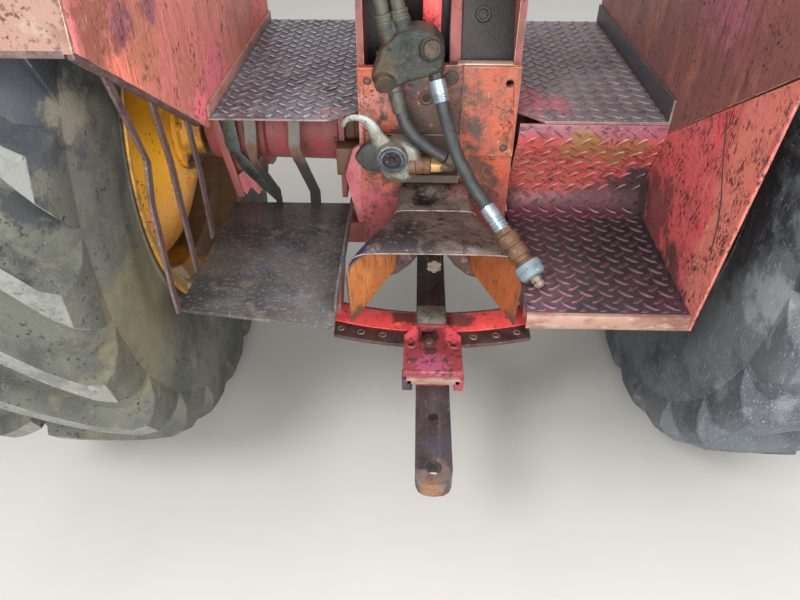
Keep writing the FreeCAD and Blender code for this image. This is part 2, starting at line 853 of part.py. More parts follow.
def step_straps():
    top = -d.step_top
    straps = []
    for number, across in enumerate((-372, -288)):
        outline = [
            (-d.deck_rear + 6, d.deck_top - d.deck_plate),
            (-d.deck_rear, d.deck_top - d.deck_plate),
            (-d.deck_rear, -20),
            (-d.step_front - 16, top + 30),
            (-d.step_front - 16, top),
            (-d.step_front - 10, top),
            (-d.step_front - 10, top + 32),
            (-d.deck_rear + 6, -17),
        ]
        straps.append(plate(f"step_strap_{number}", "YZ", (across - 20, across + 20), outline))
    return straps


def guard_bars():
    top = -d.step_top
    bars = []
    # top across and up, middle across and up, foot across, half the bar's width
    table = [
        (-1600, 300, -1545, 40, -1535, 20),
        (-1420, 188, -1420, 0, -1400, 20),
        (-1260, 92, -1300, -60, -1290, 20),
    ]
    for number, (top_y, top_z, mid_y, mid_z, foot_y, half) in enumerate(table):
        outline = [
            (foot_y - half, top),
            (foot_y + half, top),
            (mid_y + half, mid_z),
            (top_y + half, top_z),
            (top_y - half, top_z),
            (mid_y - half, mid_z),
        ]
        span = (-d.wall_half - 6, -d.wall_half)
        bars.append(plate(f"guard_bar_{number}", "YZ", span, outline))
    return bars


step_right()
side_guard()
step_left()
node(compound("step_stays_left", *step_straps(), *guard_bars()), "step_stays_left")


# Power take-off: housing, splined shaft and the shield over it

def pto_housing():
    name = "pto_housing"
    z = -d.pto_drop
    block = box("pto_block", (-110, 110), (-d.tower_rear + d.rear_plate, AXLE_Y - d.bulge_radius - 4),
                (z - 60, z + 90))
    return node(block, name)


def pto_carrier():
    name = "pto_carrier"
    z = -d.pto_drop
    outline = [
        (-84, z + 96), (-84, z - 20), (-116, z - 60), (-100, z - 112), (-56, z - 98),
        (-40, z - 60), (40, z - 60), (56, z - 98), (100, z - 112), (116, z - 60),
        (84, z - 20), (84, z + 96),
    ]
    holes = [(0, z, d.pto_radius + d.fit_gap)]
    span = (-d.tower_rear - d.carrier_plate, -d.tower_rear)
    return node(plate(name, "XZ", span, outline, holes), name)


def pto_shaft():
    """A round journal in the carrier and the splined stub behind it."""
    name = "pto_shaft"
    z = -d.pto_drop
    journal_end = d.tower_rear + d.carrier_plate + 24
    journal = rod("pto_journal", "Y", d.pto_radius, -journal_end, -d.tower_rear - 1, (0, z))
    count = round(d.spline_count.value)
    # a spline's four corners from its middle: angle over its half width, radius
    outline = []
    for number in range(count):
        middle = 2 * math.pi * number / count
        corners = [(-1, d.spline_root), (-1, d.pto_radius), (1, d.pto_radius), (1, d.spline_root)]
        for way, radius in corners:
            half = d.spline_width / 2 * way
            out = root(radius * radius - half * half)
            across = out * math.sin(middle) + half * math.cos(middle)
            up = out * math.cos(middle) - half * math.sin(middle)
            outline.append((across, z + up))
    stub = plate("pto_stub", "XZ", (-d.pto_end, -journal_end + 1), outline)
    return node(fuse(name, journal, stub), name)


def pto_shield():
    """The hood: a neck that widens to a mouth with round shoulders and two side tips."""
    name = "pto_shield"
    turns = [math.radians(angle) for angle in (0, 30, 60, 90)]

    def section(back, half, top, shoulder, low, narrow):
        """An open arch: its foot, the left shoulder in chords, then the same on the right."""
        left = [V(-narrow, -back, low)]
        for turn in turns:
            across = half - shoulder + shoulder * math.cos(turn)
            left.append(V(-across, -back, top - shoulder + shoulder * math.sin(turn)))
        return left + [V(-spot.x, spot.y, spot.z) for spot in reversed(left)]

    def skin(inset):
        top = -d.shield_top.value - inset
        neck = d.shield_neck.value - inset
        mouth = d.shield_mouth.value - inset
        rear = d.shield_rear.value
        bend = d.shield_bend.value
        start = (d.tower_rear + d.carrier_plate).value
        low = -d.shield_tip.value
        # back, half width, top, shoulder, foot, half width at the foot
        table = [
            (start, neck, top, 16, low + 128, neck),
            (bend, neck + 16, top, 30, low + 68, neck + 10),
            (rear, mouth, top - 4, 92, low, mouth - 8),
        ]
        return [section(*row) for row in table]

    outer = skin(0)
    inner = skin(d.shield_sheet.value)
    faces = []
    rings = [out + list(reversed(into)) for out, into in zip(outer, inner)]
    for here, there in zip(rings, rings[1:]):
        for number in range(len(here)):
            corners = [here[number - 1], here[number], there[number], there[number - 1]]
            faces.append(flat_face(corners[:3]))
            faces.append(flat_face([corners[0], corners[2], corners[3]]))
    for out, into in ((outer[0], inner[0]), (outer[-1], inner[-1])):
        for number in range(1, len(out)):
            faces.append(flat_face([out[number - 1], out[number], into[number], into[number - 1]]))
    return node(feature(name, closed_solid(faces)), name)


pto_housing()
pto_carrier()
pto_shaft()
pto_shield()


# Drawbar: the bar with its carrier swings about a pin ahead of the axle, on a curved support

def arc_plate(name, z, inner, outer, half):
    """A plate between two arcs about the drawbar's pin."""
    pivot = -d.drawbar_pivot
    back_in = pivot - root(inner * inner - half * half)
    back_out = pivot - root(outer * outer - half * half)
    outline = [
        (-half, back_in),
        (-half, back_out),
        (half, back_out, outer, 1),
        (half, back_in),
        (-half, back_in, inner, -1),
    ]
    return plate(name, "XY", z, outline[1:])


def drawbar_support():
    """The curved plate under the shield, and at each end an arm and a foot that hold it to the frame."""
    low = -d.drawbar_top + d.support_gap
    top = low + d.support_sheet
    strip = arc_plate("support_strip", (low, top), d.support_inner + 30, d.support_outer, d.support_half)
    pieces = [strip]
    high = -d.rear_plate_low + d.support_foot
    front = -d.tower_rear + 70
    # the arm's outline along the tractor and up: it slopes down to the plate's end
    outline = [
        (front, -d.rear_plate_low),
        (front, high),
        (-d.tower_rear - 10, high),
        (-d.tower_rear - 150, top + 30),
        (-d.tower_rear - 150, top - 1),
        (-d.tower_rear - 90, top - 1),
    ]
    for word, side in SIDES:
        span = sided(side, d.support_half - d.support_sheet, d.support_half)
        pieces.append(plate("support_arm_" + word, "YZ", span, outline))
        reach = sided(side, d.tower_half, d.support_half - 1)
        pieces.append(box("support_foot_" + word, reach, (-d.tower_rear, front), (-d.rear_plate_low, high)))
    return node(fuse("drawbar_support", *pieces), "drawbar_support")


def drawbar():
    name = "drawbar"
    half = d.drawbar_width / 2
    tip = -d.drawbar_tip + half
    front = -d.drawbar_pivot
    outline = [
        (-half, tip),
        (0, tip - half, half, 1),
        (half, tip, half, 1),
        (half, front),
        (0, front + half, half, 1),
        (-half, front, half, 1),
    ]
    holes = [
        (0, -d.hitch_back, d.hitch_radius),
        (0, -d.clip_back, d.clip_radius),
        (0, -d.drawbar_pivot, d.hitch_radius + d.fit_gap),
    ]
    span = (-d.drawbar_top - d.drawbar_thick, -d.drawbar_top)
    return node(plate(name, "XY", span, outline, holes), name)


def drawbar_carrier():
    """A top plate that reaches over the support, a block on the drawbar, cheeks and a slide shoe."""
    name = "drawbar_carrier"
    half = d.carrier_half
    floor = -d.drawbar_top
    low = floor + d.support_gap + d.support_sheet + d.slide_gap
    high = low + d.carrier_top
    front, back = -d.carrier_front, -d.carrier_back
    behind = -d.drawbar_pivot - d.support_outer - d.slide_gap
    outline = [
        (-half, back + 10), (half, back + 10), (half, front - 57), (half - 46, front),
        (-half + 46, front), (-half, front - 57),
    ]
    holes = [((half - 25) * side, front - 85, 12) for word, side in SIDES]
    top = plate("carrier_plate", "XY", (low, high), outline, holes)
    bar_half = d.drawbar_width / 2
    block = box("carrier_block", (-bar_half, bar_half), (back + 10, behind), (floor, low + 1))
    lip = box("carrier_lip", (-half + 26, half - 26), (back, back + 11), (floor, high - 6))
    shoe = box("carrier_shoe", (-40, 40), (front - 8, front + 56), (low, low + 25))
    cheeks = []
    for word, side in SIDES:
        span = sided(side, half - 34, half)
        cheeks.append(box("carrier_cheek_" + word, span, (back, back + 40), (floor - 26, low + 1)))
    return node(fuse(name, top, block, lip, shoe, *cheeks), name)


def pivot_bracket():
    name = "drawbar_pivot_bracket"
    top = -d.frame_low
    z_top = -d.drawbar_top + d.fit_gap
    z_low = -d.drawbar_top - d.drawbar_thick - d.fit_gap
    y = -d.drawbar_pivot
    upper = box("pivot_upper", (-70, 70), (y - 60, y + 60), (z_top, z_top + 20))
    lower = box("pivot_lower", (-70, 70), (y - 60, y + 60), (z_low - 20, z_low))
    web_low = box("pivot_web", (-70, 70), (y + 60, y + 80), (z_low - 20, top))
    web_a = box("pivot_web_a", (-70, -54), (y - 60, y + 60), (z_top + 20, top))
    web_b = box("pivot_web_b", (54, 70), (y - 60, y + 60), (z_top + 20, top))
    pin = rod("pivot_pin", "Z", d.hitch_radius, z_low - 20, z_top + 30, (0, y))
    return node(fuse(name, upper, lower, web_low, web_a, web_b, pin), name)


drawbar_support()
drawbar()
drawbar_carrier()
pivot_bracket()


# Hydraulics: a cast valve block on supply pipes, a short hose to a coupler and a long loose hose

def slanted(name, radius, start, end, sides=0):
    """A bar from one point to another: round, or with flats like a nut or a crimped sleeve."""
    start, end = V(*start), V(*end)
    way = end - start
    if sides:
        bar = doc.addObject("Part::Prism", name)
        bar.Polygon = sides
        bind(bar, Circumradius=radius)
    else:
        bar = doc.addObject("Part::Cylinder", name)
        bind(bar, Radius=radius)
    bar.Height = way.Length
    bar.Placement = FreeCAD.Placement(start, FreeCAD.Rotation(V(0, 0, 1), way))
    return bar


# The hoses' routes: across, back and up of each point
LONG_HOSE = [
    (6, -1231, 107),
    (28, -1262, 30),
    (72, -1294, -46),
    (111, -1340, -85),
]
SHORT_HOSE = [
    (-91, -1200, 112),
    (-78, -1212, 58),
    (-42, -1222, 12),
    (18, -1226, -22),
]
# The supply pipes' foot and bend: across, back and up
PIPES = [
    [(-115, -1192, 262), (-129, -1180, 320)],
    [(-83, -1192, 272), (-97, -1180, 330)],
]


def lead(route, far, length):
    """A point beyond a route's start, or its far end, in line with its last run."""
    end, before = (V(*route[-1]), V(*route[-2])) if far else (V(*route[0]), V(*route[1]))
    return tuple(end + (end - before).normalize() * length)


def valve_block():
    name = "valve_block"
    x, z = d.valve_across, d.valve_up
    # outline of the casting about its middle: to the right, up
    casting = [
        (-84, -34), (-70, -58), (-44, -60), (-8, -42), (38, -30), (66, -14),
        (70, 26), (48, 58), (14, 64), (-24, 58), (-60, 26),
    ]
    outline = [(x + right, z + up) for right, up in casting]
    back = -d.tower_rear - d.valve_depth
    block = plate("valve_casting", "XZ", (back, -d.tower_rear), outline)
    plug_end = back.value - 12
    plug = slanted("valve_plug", 21, (-24, plug_end + 24, 214), (-16, plug_end, 220), 12)
    left = slanted("valve_outlet_left", 20, lead(SHORT_HOSE, False, 44), SHORT_HOSE[0], 12)
    right = slanted("valve_outlet_right", 18, lead(LONG_HOSE, False, 86), lead(LONG_HOSE, False, 44), 12)
    crimp = slanted("valve_crimp", d.crimp_radius, lead(LONG_HOSE, False, 45), LONG_HOSE[0], 12)
    collars = []
    for number, route in enumerate(PIPES):
        ends = (lead(route, False, 30), route[0])
        collars.append(slanted(f"valve_collar_{number}", d.pipe_radius + 3, *ends, 12))
    return node(fuse(name, block, plug, left, right, crimp, *collars), name)


def hose(name, route, radius):
    """A tube of straight runs joined by arcs as large as the runs allow."""
    points = [V(*point) for point in route]
    edges = []
    at = points[0]
    radii = []
    for number in range(1, len(points) - 1):
        before = points[number] - points[number - 1]
        after = points[number + 1] - points[number]
        half_turn = before.getAngle(after) / 2
        short = min(before.Length, after.Length)
        bend = 0.45 * short / math.tan(half_turn)
        radii.append(bend)
        into = points[number] - before.normalize() * (bend * math.tan(half_turn))
        out = points[number] + after.normalize() * (bend * math.tan(half_turn))
        bisector = ((into - points[number]) + (out - points[number])).normalize()
        depth = bend / math.cos(half_turn) - bend
        edges.append(Part.LineSegment(at, into).toShape())
        edges.append(Part.Arc(into, points[number] + bisector * depth, out).toShape())
        at = out
    edges.append(Part.LineSegment(at, points[-1]).toShape())
    path = Part.Wire(edges)
    # a section with flats, as large as the round one
    corner = radius.value * math.sqrt(2 * math.pi / (HOSE_FLATS * math.sin(2 * math.pi / HOSE_FLATS)))
    first = points[1] - points[0]
    aside = first.cross(V(0, 0, 1)).normalize()
    above = first.cross(aside).normalize()
    corners = []
    for number in range(HOSE_FLATS + 1):
        angle = 2 * math.pi * number / HOSE_FLATS
        corners.append(points[0] + aside * (corner * math.cos(angle)) + above * (corner * math.sin(angle)))
    tube = path.makePipeShell([Part.makePolygon(corners)], True, False)
    share = tube.Volume / (math.pi * radius.value ** 2 * path.Length)
    print(name, "bend radii", [round(bend) for bend in radii], "length", round(path.Length, 1),
          "volume over section times length", round(share, 4))
    return node(feature(name, tube), name)


def hose_end():
    """The long hose's lower end: crimp, nut, adapter, ring cap and plug on one line."""
    name = "hose_end"
    # name, radius, start and end from the hose, flats
    table = [
        ("end_crimp", d.crimp_radius, 0, 58, 12),
        ("end_nut", d.crimp_radius + 3, 57, 71, 6),
        ("end_adapter", d.crimp_radius + 5, 70, 147, 12),
        ("end_cap", d.cap_radius, 146, 175, 16),
        ("end_plug", d.cap_radius / 3, 174, 204, 8),
    ]
    pieces = []
    for piece, radius, start, end, sides in table:
        ends = (lead(LONG_HOSE, True, start), lead(LONG_HOSE, True, end))
        pieces.append(slanted(piece, radius, *ends, sides))
    return node(fuse(name, *pieces), name)


def supply_pipes():
    """Two pipes that rise from the valve block's collars and run forward to the tower's back plate."""
    end = -d.tower_rear.value + 130
    pipes = []
    for number, (foot, bend) in enumerate(PIPES):
        across, back, up = bend[0], bend[1] - 10, bend[2] - 2
        rise = slanted(f"pipe_rise_{number}", d.pipe_radius, foot, bend, 12)
        run = slanted(f"pipe_run_{number}", d.pipe_radius, (across, back, up), (across, end, up), 12)
        pipes.append(fuse(f"supply_pipe_{number}", rise, run))
    return node(compound("supply_pipes", *pipes), "supply_pipes")


def tower_cover():
    name = "tower_cover"
    inside = d.tower_half - d.side_plate
    foot = d.rear_plate_top - 28
    low_y = -d.tower_rear + d.rear_plate + 2
    high_y = -d.tower_rear + 130
    outline = [
        (low_y, foot),
        (low_y + d.cover_wall + 4, foot),
        (high_y, d.tower_top - 110),
        (high_y - d.cover_wall - 2, d.tower_top - 110),
    ]
    panel = plate("cover_panel", "YZ", (22, inside), outline)
    boss = slanted("cover_boss_round", d.cover_boss, (94, -1034, 228), (94, -1084, 246), 16)
    return node(fuse(name, panel, boss), name)


def coupler_bracket():
    """An angle on the rear plate: its upright carries the coupler, its ledge lies below."""
    back = -d.tower_rear - d.coupler_seat
    upright = box("bracket_upright", (-138, 52), (back, -d.tower_rear), (-100, 0))
    ledge = box("bracket_ledge", (-88, 52), (back - 42, back + 1), (-100, -82))
    return node(fuse("coupler_bracket", upright, ledge), "coupler_bracket")


def coupler():
    x, z = d.coupler_across, d.coupler_up
    rear = -d.coupler_rear
    seat_face = -d.tower_rear - d.coupler_seat
    rear_y, seat_y, x_mid, z_mid = rear.value, seat_face.value, x.value, z.value
    end = x_mid + d.coupler_radius.value + 3
    front = (x_mid, seat_y, z_mid)
    barrel = slanted("coupler_barrel", d.coupler_radius, (x_mid, rear_y, z_mid), front, 20)
    deep = (x_mid, rear_y + 26, z_mid)
    socket = slanted("coupler_socket", d.coupler_radius - 14, (x_mid, rear_y - 1, z_mid), deep, 20)
    lug = box("coupler_lug", (x - 72, x - 20), (rear + 14, rear + 40), (z - 42, z + 18))
    y, low = rear_y + 32, z_mid - 18
    neck = slanted("coupler_neck", d.coupler_radius - 8, (x_mid, y, low), (end, y, low), 12)
    # the forked arm, about the coupler's middle: across, up, and an arc's radius and side
    arm = [
        (-24, 8), (-10, 26), (-15, 74), (-31, 108, 48, 1), (-67, 124, 48, 1), (-110, 100, 60, 1),
        (-101, 88), (-67, 108, 45, -1), (-39, 82, 32, -1), (-45, 52), (-54, 20),
    ]
    outline = [(x + point[0], z + point[1], *point[2:]) for point in arm]
    fork = plate("coupler_fork", "XZ", (rear + 18, rear + 36), outline)
    casting = cut("coupler_casting", fuse("coupler_solid", barrel, lug, neck, fork), socket)
    inside = ((x_mid, rear_y + 8, z_mid), (x_mid, rear_y + 27, z_mid))
    ball = slanted("coupler_ball", d.coupler_radius - 19, *inside, 12)
    node(fuse("coupler_body", casting, ball), "coupler_body")
    barrel = slanted("fitting_barrel", 20, (end, y, low), (-10, y, low), 12)
    elbow = slanted("fitting_elbow", 16, (-11, y, low), (34, y, low), 12)
    turn = slanted("fitting_turn", 16, SHORT_HOSE[-1], lead(SHORT_HOSE, True, 24), 12)
    node(fuse("coupler_fitting", barrel, elbow, turn), "coupler_fitting")


valve_block()
hose("hose_long", LONG_HOSE, d.hose_radius)
hose("hose_short", SHORT_HOSE, d.hose_radius)
hose_end()
supply_pipes()
tower_cover()
coupler_bracket()
coupler()

doc.recompute()
faults = [thing.Name for thing in doc.Objects if "Invalid" in thing.State or "Error" in thing.State]
faults += [thing.Label for thing in NODES if thing.Shape.isNull() or not thing.Shape.isValid()]
if faults:
    raise RuntimeError("failed pieces: " + ", ".join(faults))
os.makedirs("parts", exist_ok=True)
for thing in NODES:
    thing.Shape.exportStep(f"parts/{thing.Label}.step")
print(len(NODES), "pieces written")
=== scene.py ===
import math

import bpy
from mathutils import Matrix, Vector


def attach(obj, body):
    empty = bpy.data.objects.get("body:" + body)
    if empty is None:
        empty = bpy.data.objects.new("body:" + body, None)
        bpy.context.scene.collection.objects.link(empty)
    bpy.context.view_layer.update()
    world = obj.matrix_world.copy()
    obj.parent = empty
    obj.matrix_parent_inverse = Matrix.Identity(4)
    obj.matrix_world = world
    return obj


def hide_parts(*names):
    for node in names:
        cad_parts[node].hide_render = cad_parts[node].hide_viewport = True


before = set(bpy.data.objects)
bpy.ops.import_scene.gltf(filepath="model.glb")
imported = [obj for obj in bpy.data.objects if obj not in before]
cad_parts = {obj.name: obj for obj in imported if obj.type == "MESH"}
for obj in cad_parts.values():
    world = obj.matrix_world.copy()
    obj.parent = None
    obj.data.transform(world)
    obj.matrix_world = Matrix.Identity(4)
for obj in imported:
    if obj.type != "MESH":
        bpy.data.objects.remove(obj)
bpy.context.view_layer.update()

# Rear section of an articulated farm tractor: worn paint, tread plate, tyres, castings and hoses
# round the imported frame. Lengths are written in millimetres in the frame's own axes: across to the
# right, along forward (so what is behind is negative) and up.

MM = 0.001

AXLE_Y = -950
AXLE_Z = -70
FLOOR_Z = -890
WHEEL_X = 830
SIDES = [("left", -1), ("right", 1)]


def at(across, along, up):
    """A point in metres from millimetres."""
    return Vector((across, along, up)) * MM


# Camera: the photograph's place and lens, looking down on the drawbar from behind

IMAGE_WIDTH = 800
FOCAL_PIXELS = 650
EYE = at(-47, -2560, 640)
LOOK = Vector((-0.0205, 0.7788, -0.6269))


def set_camera():
    data = bpy.data.cameras.new("camera")
    data.sensor_width = 36
    data.lens = FOCAL_PIXELS / IMAGE_WIDTH * data.sensor_width
    data.dof.use_dof = False
    camera = bpy.data.objects.new("camera", data)
    bpy.context.scene.collection.objects.link(camera)
    camera.location = EYE
    camera.rotation_mode = "QUATERNION"
    camera.rotation_quaternion = LOOK.to_track_quat("-Z", "Y")
    bpy.context.scene.camera = camera


set_camera()


# Materials: a base colour with layers of colour laid over it, each through its own mask

def linear(hex_colour):
    """An sRGB hex colour as linear red, green, blue and alpha."""
    values = []
    for start in (1, 3, 5):
        share = int(hex_colour[start:start + 2], 16) / 255
        values.append(share / 12.92 if share <= 0.04045 else ((share + 0.055) / 1.055) ** 2.4)
    return (*values, 1.0)


def add(tree, kind, inputs=None, **settings):
    """A node with its settings, and its inputs set or linked."""
    node = tree.nodes.new(kind)
    for name, value in settings.items():
        setattr(node, name, value)
    for name, value in (inputs or {}).items():
        if isinstance(value, bpy.types.NodeSocket):
            tree.links.new(value, node.inputs[name])
        else:
            node.inputs[name].default_value = value
    return node


def ramp(tree, value, low, high, most=1.0):
    """A value turned to a share: 0 below low, most above high."""
    inputs = {"Value": value, "From Min": low, "From Max": high, "To Min": 0.0, "To Max": most}
    return add(tree, "ShaderNodeMapRange", inputs, interpolation_type="SMOOTHSTEP").outputs["Result"]


def mottled(tree, place, size, low, high, most, stretch=(1, 1, 1), detail=6, shift=0):
    """Cloudy patches about as large as size in millimetres, drawn out along an axis by a stretch."""
    scale = [1 / (size * MM * share) for share in stretch]
    moved = add(tree, "ShaderNodeMapping", {"Vector": place, "Location": (shift, shift, shift), "Scale": scale})
    inputs = {"Vector": moved.outputs["Vector"], "Scale": 1.0, "Detail": detail, "Roughness": 0.62}
    noise = add(tree, "ShaderNodeTexNoise", inputs)
    return ramp(tree, noise.outputs["Fac"], low, high, most)


def chips(tree, place, size, low, high, most, stretch=(1, 1, 1), detail=2, shift=0):
    """Small scattered spots with ragged edges, where a coat has come off."""
    broad = mottled(tree, place, size * 9, 0.42, 0.62, 1.0, (1, 1, 1), 3, shift + 3)
    fine = mottled(tree, place, size, low, high, most, stretch, detail, shift)
    return add(tree, "ShaderNodeMath", {0: broad, 1: fine}, operation="MULTIPLY").outputs[0]


def near(tree, place, centre, reach, most):
    """A share that falls off with the distance from a point, broken up by cloudy patches."""
    gap = add(tree, "ShaderNodeVectorMath", {0: place, 1: at(*centre)}, operation="DISTANCE")
    cloud = mottled(tree, place, 40, 0.25, 0.75, reach * MM * 0.9)
    ragged = add(tree, "ShaderNodeMath", {0: gap.outputs["Value"], 1: cloud}, operation="ADD")
    return ramp(tree, ragged.outputs[0], reach * MM * 1.5, reach * MM * 0.95, most)


def beyond(tree, place, axis, start, end, most):
    """A share that grows along an axis from start to end, in millimetres, with a ragged border."""
    parts = add(tree, "ShaderNodeSeparateXYZ", {"Vector": place})
    cloud = mottled(tree, place, 50, 0.2, 0.8, abs(end - start) * MM)
    ragged = add(tree, "ShaderNodeMath", {0: parts.outputs[axis], 1: cloud}, operation="ADD")
    shift = abs(end - start) / 2
    return ramp(tree, ragged.outputs[0], (start + shift) * MM, (end + shift) * MM, most)


def finish(name, base, layers, roughness, metallic=0.0, bump=0.3, grain=3, dull=0.2, coat=0.0):
    """A material: a base colour, layers of (colour, mask, settings), and a bump as coarse as its grain."""
    made = bpy.data.materials.new(name)
    made.use_nodes = True
    tree = made.node_tree
    shader = tree.nodes["Principled BSDF"]
    place = add(tree, "ShaderNodeTexCoord").outputs["Object"]
    colour = linear(base)
    cover = None
    for tint, mask, *settings in layers:
        share = mask(tree, place, *settings)
        mixed = add(tree, "ShaderNodeMix", {0: share, 6: colour, 7: linear(tint)}, data_type="RGBA")
        colour = mixed.outputs[2]
        cover = share
    tree.links.new(colour, shader.inputs["Base Color"])
    rough = mottled(tree, place, 60, 0.3, 0.7, dull)
    total = add(tree, "ShaderNodeMath", {0: rough, 1: roughness - dull / 2}, operation="ADD")
    tree.links.new(total.outputs[0], shader.inputs["Roughness"])
    shader.inputs["Metallic"].default_value = metallic
    shader.inputs["Coat Weight"].default_value = coat
    shader.inputs["Coat Roughness"].default_value = 0.25
    height = mottled(tree, place, grain, 0.3, 0.7, 1.0, detail=3)
    if cover is not None:
        height = add(tree, "ShaderNodeMath", {0: height, 1: cover}, operation="SUBTRACT").outputs[0]
    inputs = {"Strength": bump, "Distance": grain * MM * 0.3, "Height": height}
    tree.links.new(add(tree, "ShaderNodeBump", inputs).outputs["Normal"], shader.inputs["Normal"])
    return made


# Brick-red enamel on the left fender, bleached by weather: pinkish, with long brown runs
fender_enamel = finish("bleached_red_enamel", "#D07871", [
    ("#BA715A", mottled, 60, 0.46, 0.62, 0.85, (0.6, 0.6, 3), 8),
    ("#EE604D", near, (-520, -540, 98), 130, 0.9),
    ("#F38973", near, (-520, -1543, 266), 120, 0.85),
    ("#DD6D7F", near, (-520, -1073, 109), 110, 0.8),
    ("#B17358", near, (-520, -1435, 284), 80, 0.75),
    ("#764758", near, (-521, -1508, 336), 52, 0.9),
    ("#7A4C5F", near, (-521, -1368, 332), 44, 0.85),
    ("#875041", near, (-520, -1602, 357), 78, 0.85),
    ("#9D604F", mottled, 11, 0.5, 0.64, 0.75, (0.5, 0.5, 6), 8),
    ("#F7788A", near, (-521, -1213, 81), 46, 0.95),
    ("#FCCBC6", mottled, 3.6, 0.61, 0.68, 0.75, (0.4, 0.4, 9), 3, 7),
    ("#693F38", mottled, 5, 0.6, 0.67, 0.8, (0.4, 0.4, 8), 5, 11),
    ("#F98D9B", beyond, "Y", -1640, -1668, 0.9),
    ("#452C30", chips, 8, 0.54, 0.63, 0.95, (1, 1, 1.8)),
], 0.5, bump=0.4, grain=5, coat=0.08)

# The crease pressed into the left fender wall, drawn as a pale line that is a painted highlight
crease_enamel = finish("crease_highlight_enamel", "#C88E7C", [
    ("#A8685A", mottled, 14, 0.46, 0.62, 0.8, (0.5, 0.5, 3)),
], 0.5, bump=0.2, grain=3)

# The fender cover's rear face: pale tan-pink, bleached, with brown spots
cover_enamel = finish("tan_bleached_enamel", "#937265", [
    ("#8D5F54", mottled, 90, 0.48, 0.68, 0.8),
    ("#765542", mottled, 24, 0.54, 0.7, 0.7, (1, 1, 2), 8, 3),
    ("#A18C82", mottled, 40, 0.56, 0.72, 0.6, (1, 1, 1), 6, 5),
    ("#492D23", chips, 9, 0.53, 0.64, 0.9),
], 0.5, bump=0.35, grain=4, coat=0.05)

# The same enamel on the right fender, painted darker and maroon as painted shade, with brown mottles, streaks and chips
shaded_enamel = finish("shade_darkened_enamel", "#784A46", [
    # painted shade: maroon over the middle of the right fender wall
    ("#965464", near, (517, -1290, 420), 190, 0.85),
    ("#9A604F", mottled, 90, 0.48, 0.68, 0.8, (1, 1, 2), 8),
    ("#623A35", mottled, 36, 0.5, 0.7, 0.85, (0.4, 0.4, 4), 8, 2),
    ("#B67869", mottled, 120, 0.6, 0.76, 0.5, (1, 1, 2), 5, 3),
    ("#51322E", mottled, 9, 0.56, 0.68, 0.7, (0.5, 0.5, 6)),
    ("#AE6067", mottled, 5, 0.62, 0.7, 0.6, (0.4, 0.4, 8), 3, 7),
    ("#2E1D1D", chips, 8, 0.56, 0.66, 0.9),
    ("#43302E", mottled, 22, 0.57, 0.66, 0.8, (0.5, 0.5, 4), 8, 9),
], 0.5, bump=0.4, grain=5, coat=0.08)

# Enamel on the right side guard: clear red above, eaten by rust and mud towards its foot, with painted shade in its
# front corner against the riser
guard_enamel = finish("rust_footed_enamel", "#C6585A", [
    ("#D64953", mottled, 90, 0.5, 0.66, 0.7, (1, 1, 2.4)),
    ("#C67867", beyond, "Y", -1440, -1500, 0.75),
    ("#D89385", mottled, 26, 0.56, 0.7, 0.6, (0.4, 0.4, 6), 8),
    ("#95564F", mottled, 60, 0.54, 0.66, 0.8, (1, 1, 1.6), 8, 5),
    ("#6A3E3E", near, (513, -1230, -150), 120, 0.8),
    ("#4F3839", near, (513, -1400, -240), 110, 0.85),
    # painted shade in the corner where the guard meets the riser
    ("#423637", near, (513, -1130, -180), 75, 0.95),
    ("#592F2E", mottled, 14, 0.58, 0.64, 0.85, (1, 1, 1.8), 8, 9),
    ("#422728", chips, 7, 0.48, 0.58, 0.95, (0.7, 0.7, 1.8)),
    ("#301F1F", mottled, 3.4, 0.63, 0.67, 0.9, (0.6, 0.6, 5), 2, 4),
], 0.46, bump=0.4, grain=4, coat=0.1)

# Orange-red enamel on the frame's rear plates, chipped to brown, with grease round the fittings
frame_enamel = finish("orange_red_enamel", "#AD5C44", [
    ("#C65839", mottled, 80, 0.46, 0.62, 0.8),
    ("#944C42", mottled, 120, 0.52, 0.68, 0.85, (1, 1, 1), 5, 9),
    ("#D1877B", near, (-175, -1150, 40), 90, 0.8),
    ("#AB525E", near, (-130, -1150, -215), 105, 0.85),
    ("#A75852", near, (140, -1150, -190), 90, 0.7),
    ("#844C35", mottled, 34, 0.52, 0.64, 0.85, (1, 1, 1.6), 8, 3),
    ("#493B33", near, (-10, -1150, 50), 128, 0.95),
    ("#483931", near, (-70, -1150, -60), 112, 0.92),
    ("#4E3E35", near, (60, -1150, -105), 100, 0.85),
    ("#D98D73", mottled, 12, 0.62, 0.7, 0.7, (1, 1, 2), 8, 6),
    ("#4E2D27", chips, 8, 0.51, 0.62, 0.95),
    ("#2C1F1D", mottled, 2.8, 0.65, 0.69, 0.9, (8, 0.4, 0.4), 2, 5),
], 0.48, bump=0.45, grain=4, coat=0.1)

# Maroon enamel on the frame's low sides and axle, darkened by oil and dust
low_enamel = finish("oily_red_enamel", "#92504E", [
    ("#A9434C", mottled, 90, 0.5, 0.7, 0.8),
    ("#6A4A3C", mottled, 50, 0.5, 0.7, 0.8, (1, 1, 2)),
    ("#3D2E28", mottled, 110, 0.56, 0.74, 0.85, (1, 1, 1), 6, 6),
    ("#3A2624", chips, 6, 0.57, 0.66, 0.9),
], 0.5, bump=0.35, grain=4, coat=0.06)

# Brown dried oil and earth over the axle's middle casting
oiled_casting = finish("oil_browned_casting", "#6D4E3C", [
    ("#8A5A44", mottled, 60, 0.5, 0.7, 0.7),
    ("#4A382C", mottled, 30, 0.5, 0.7, 0.8, (1, 1, 2)),
    ("#2C241F", mottled, 90, 0.58, 0.72, 0.8, (1, 1, 1), 6, 6),
], 0.6, bump=0.6, grain=5)

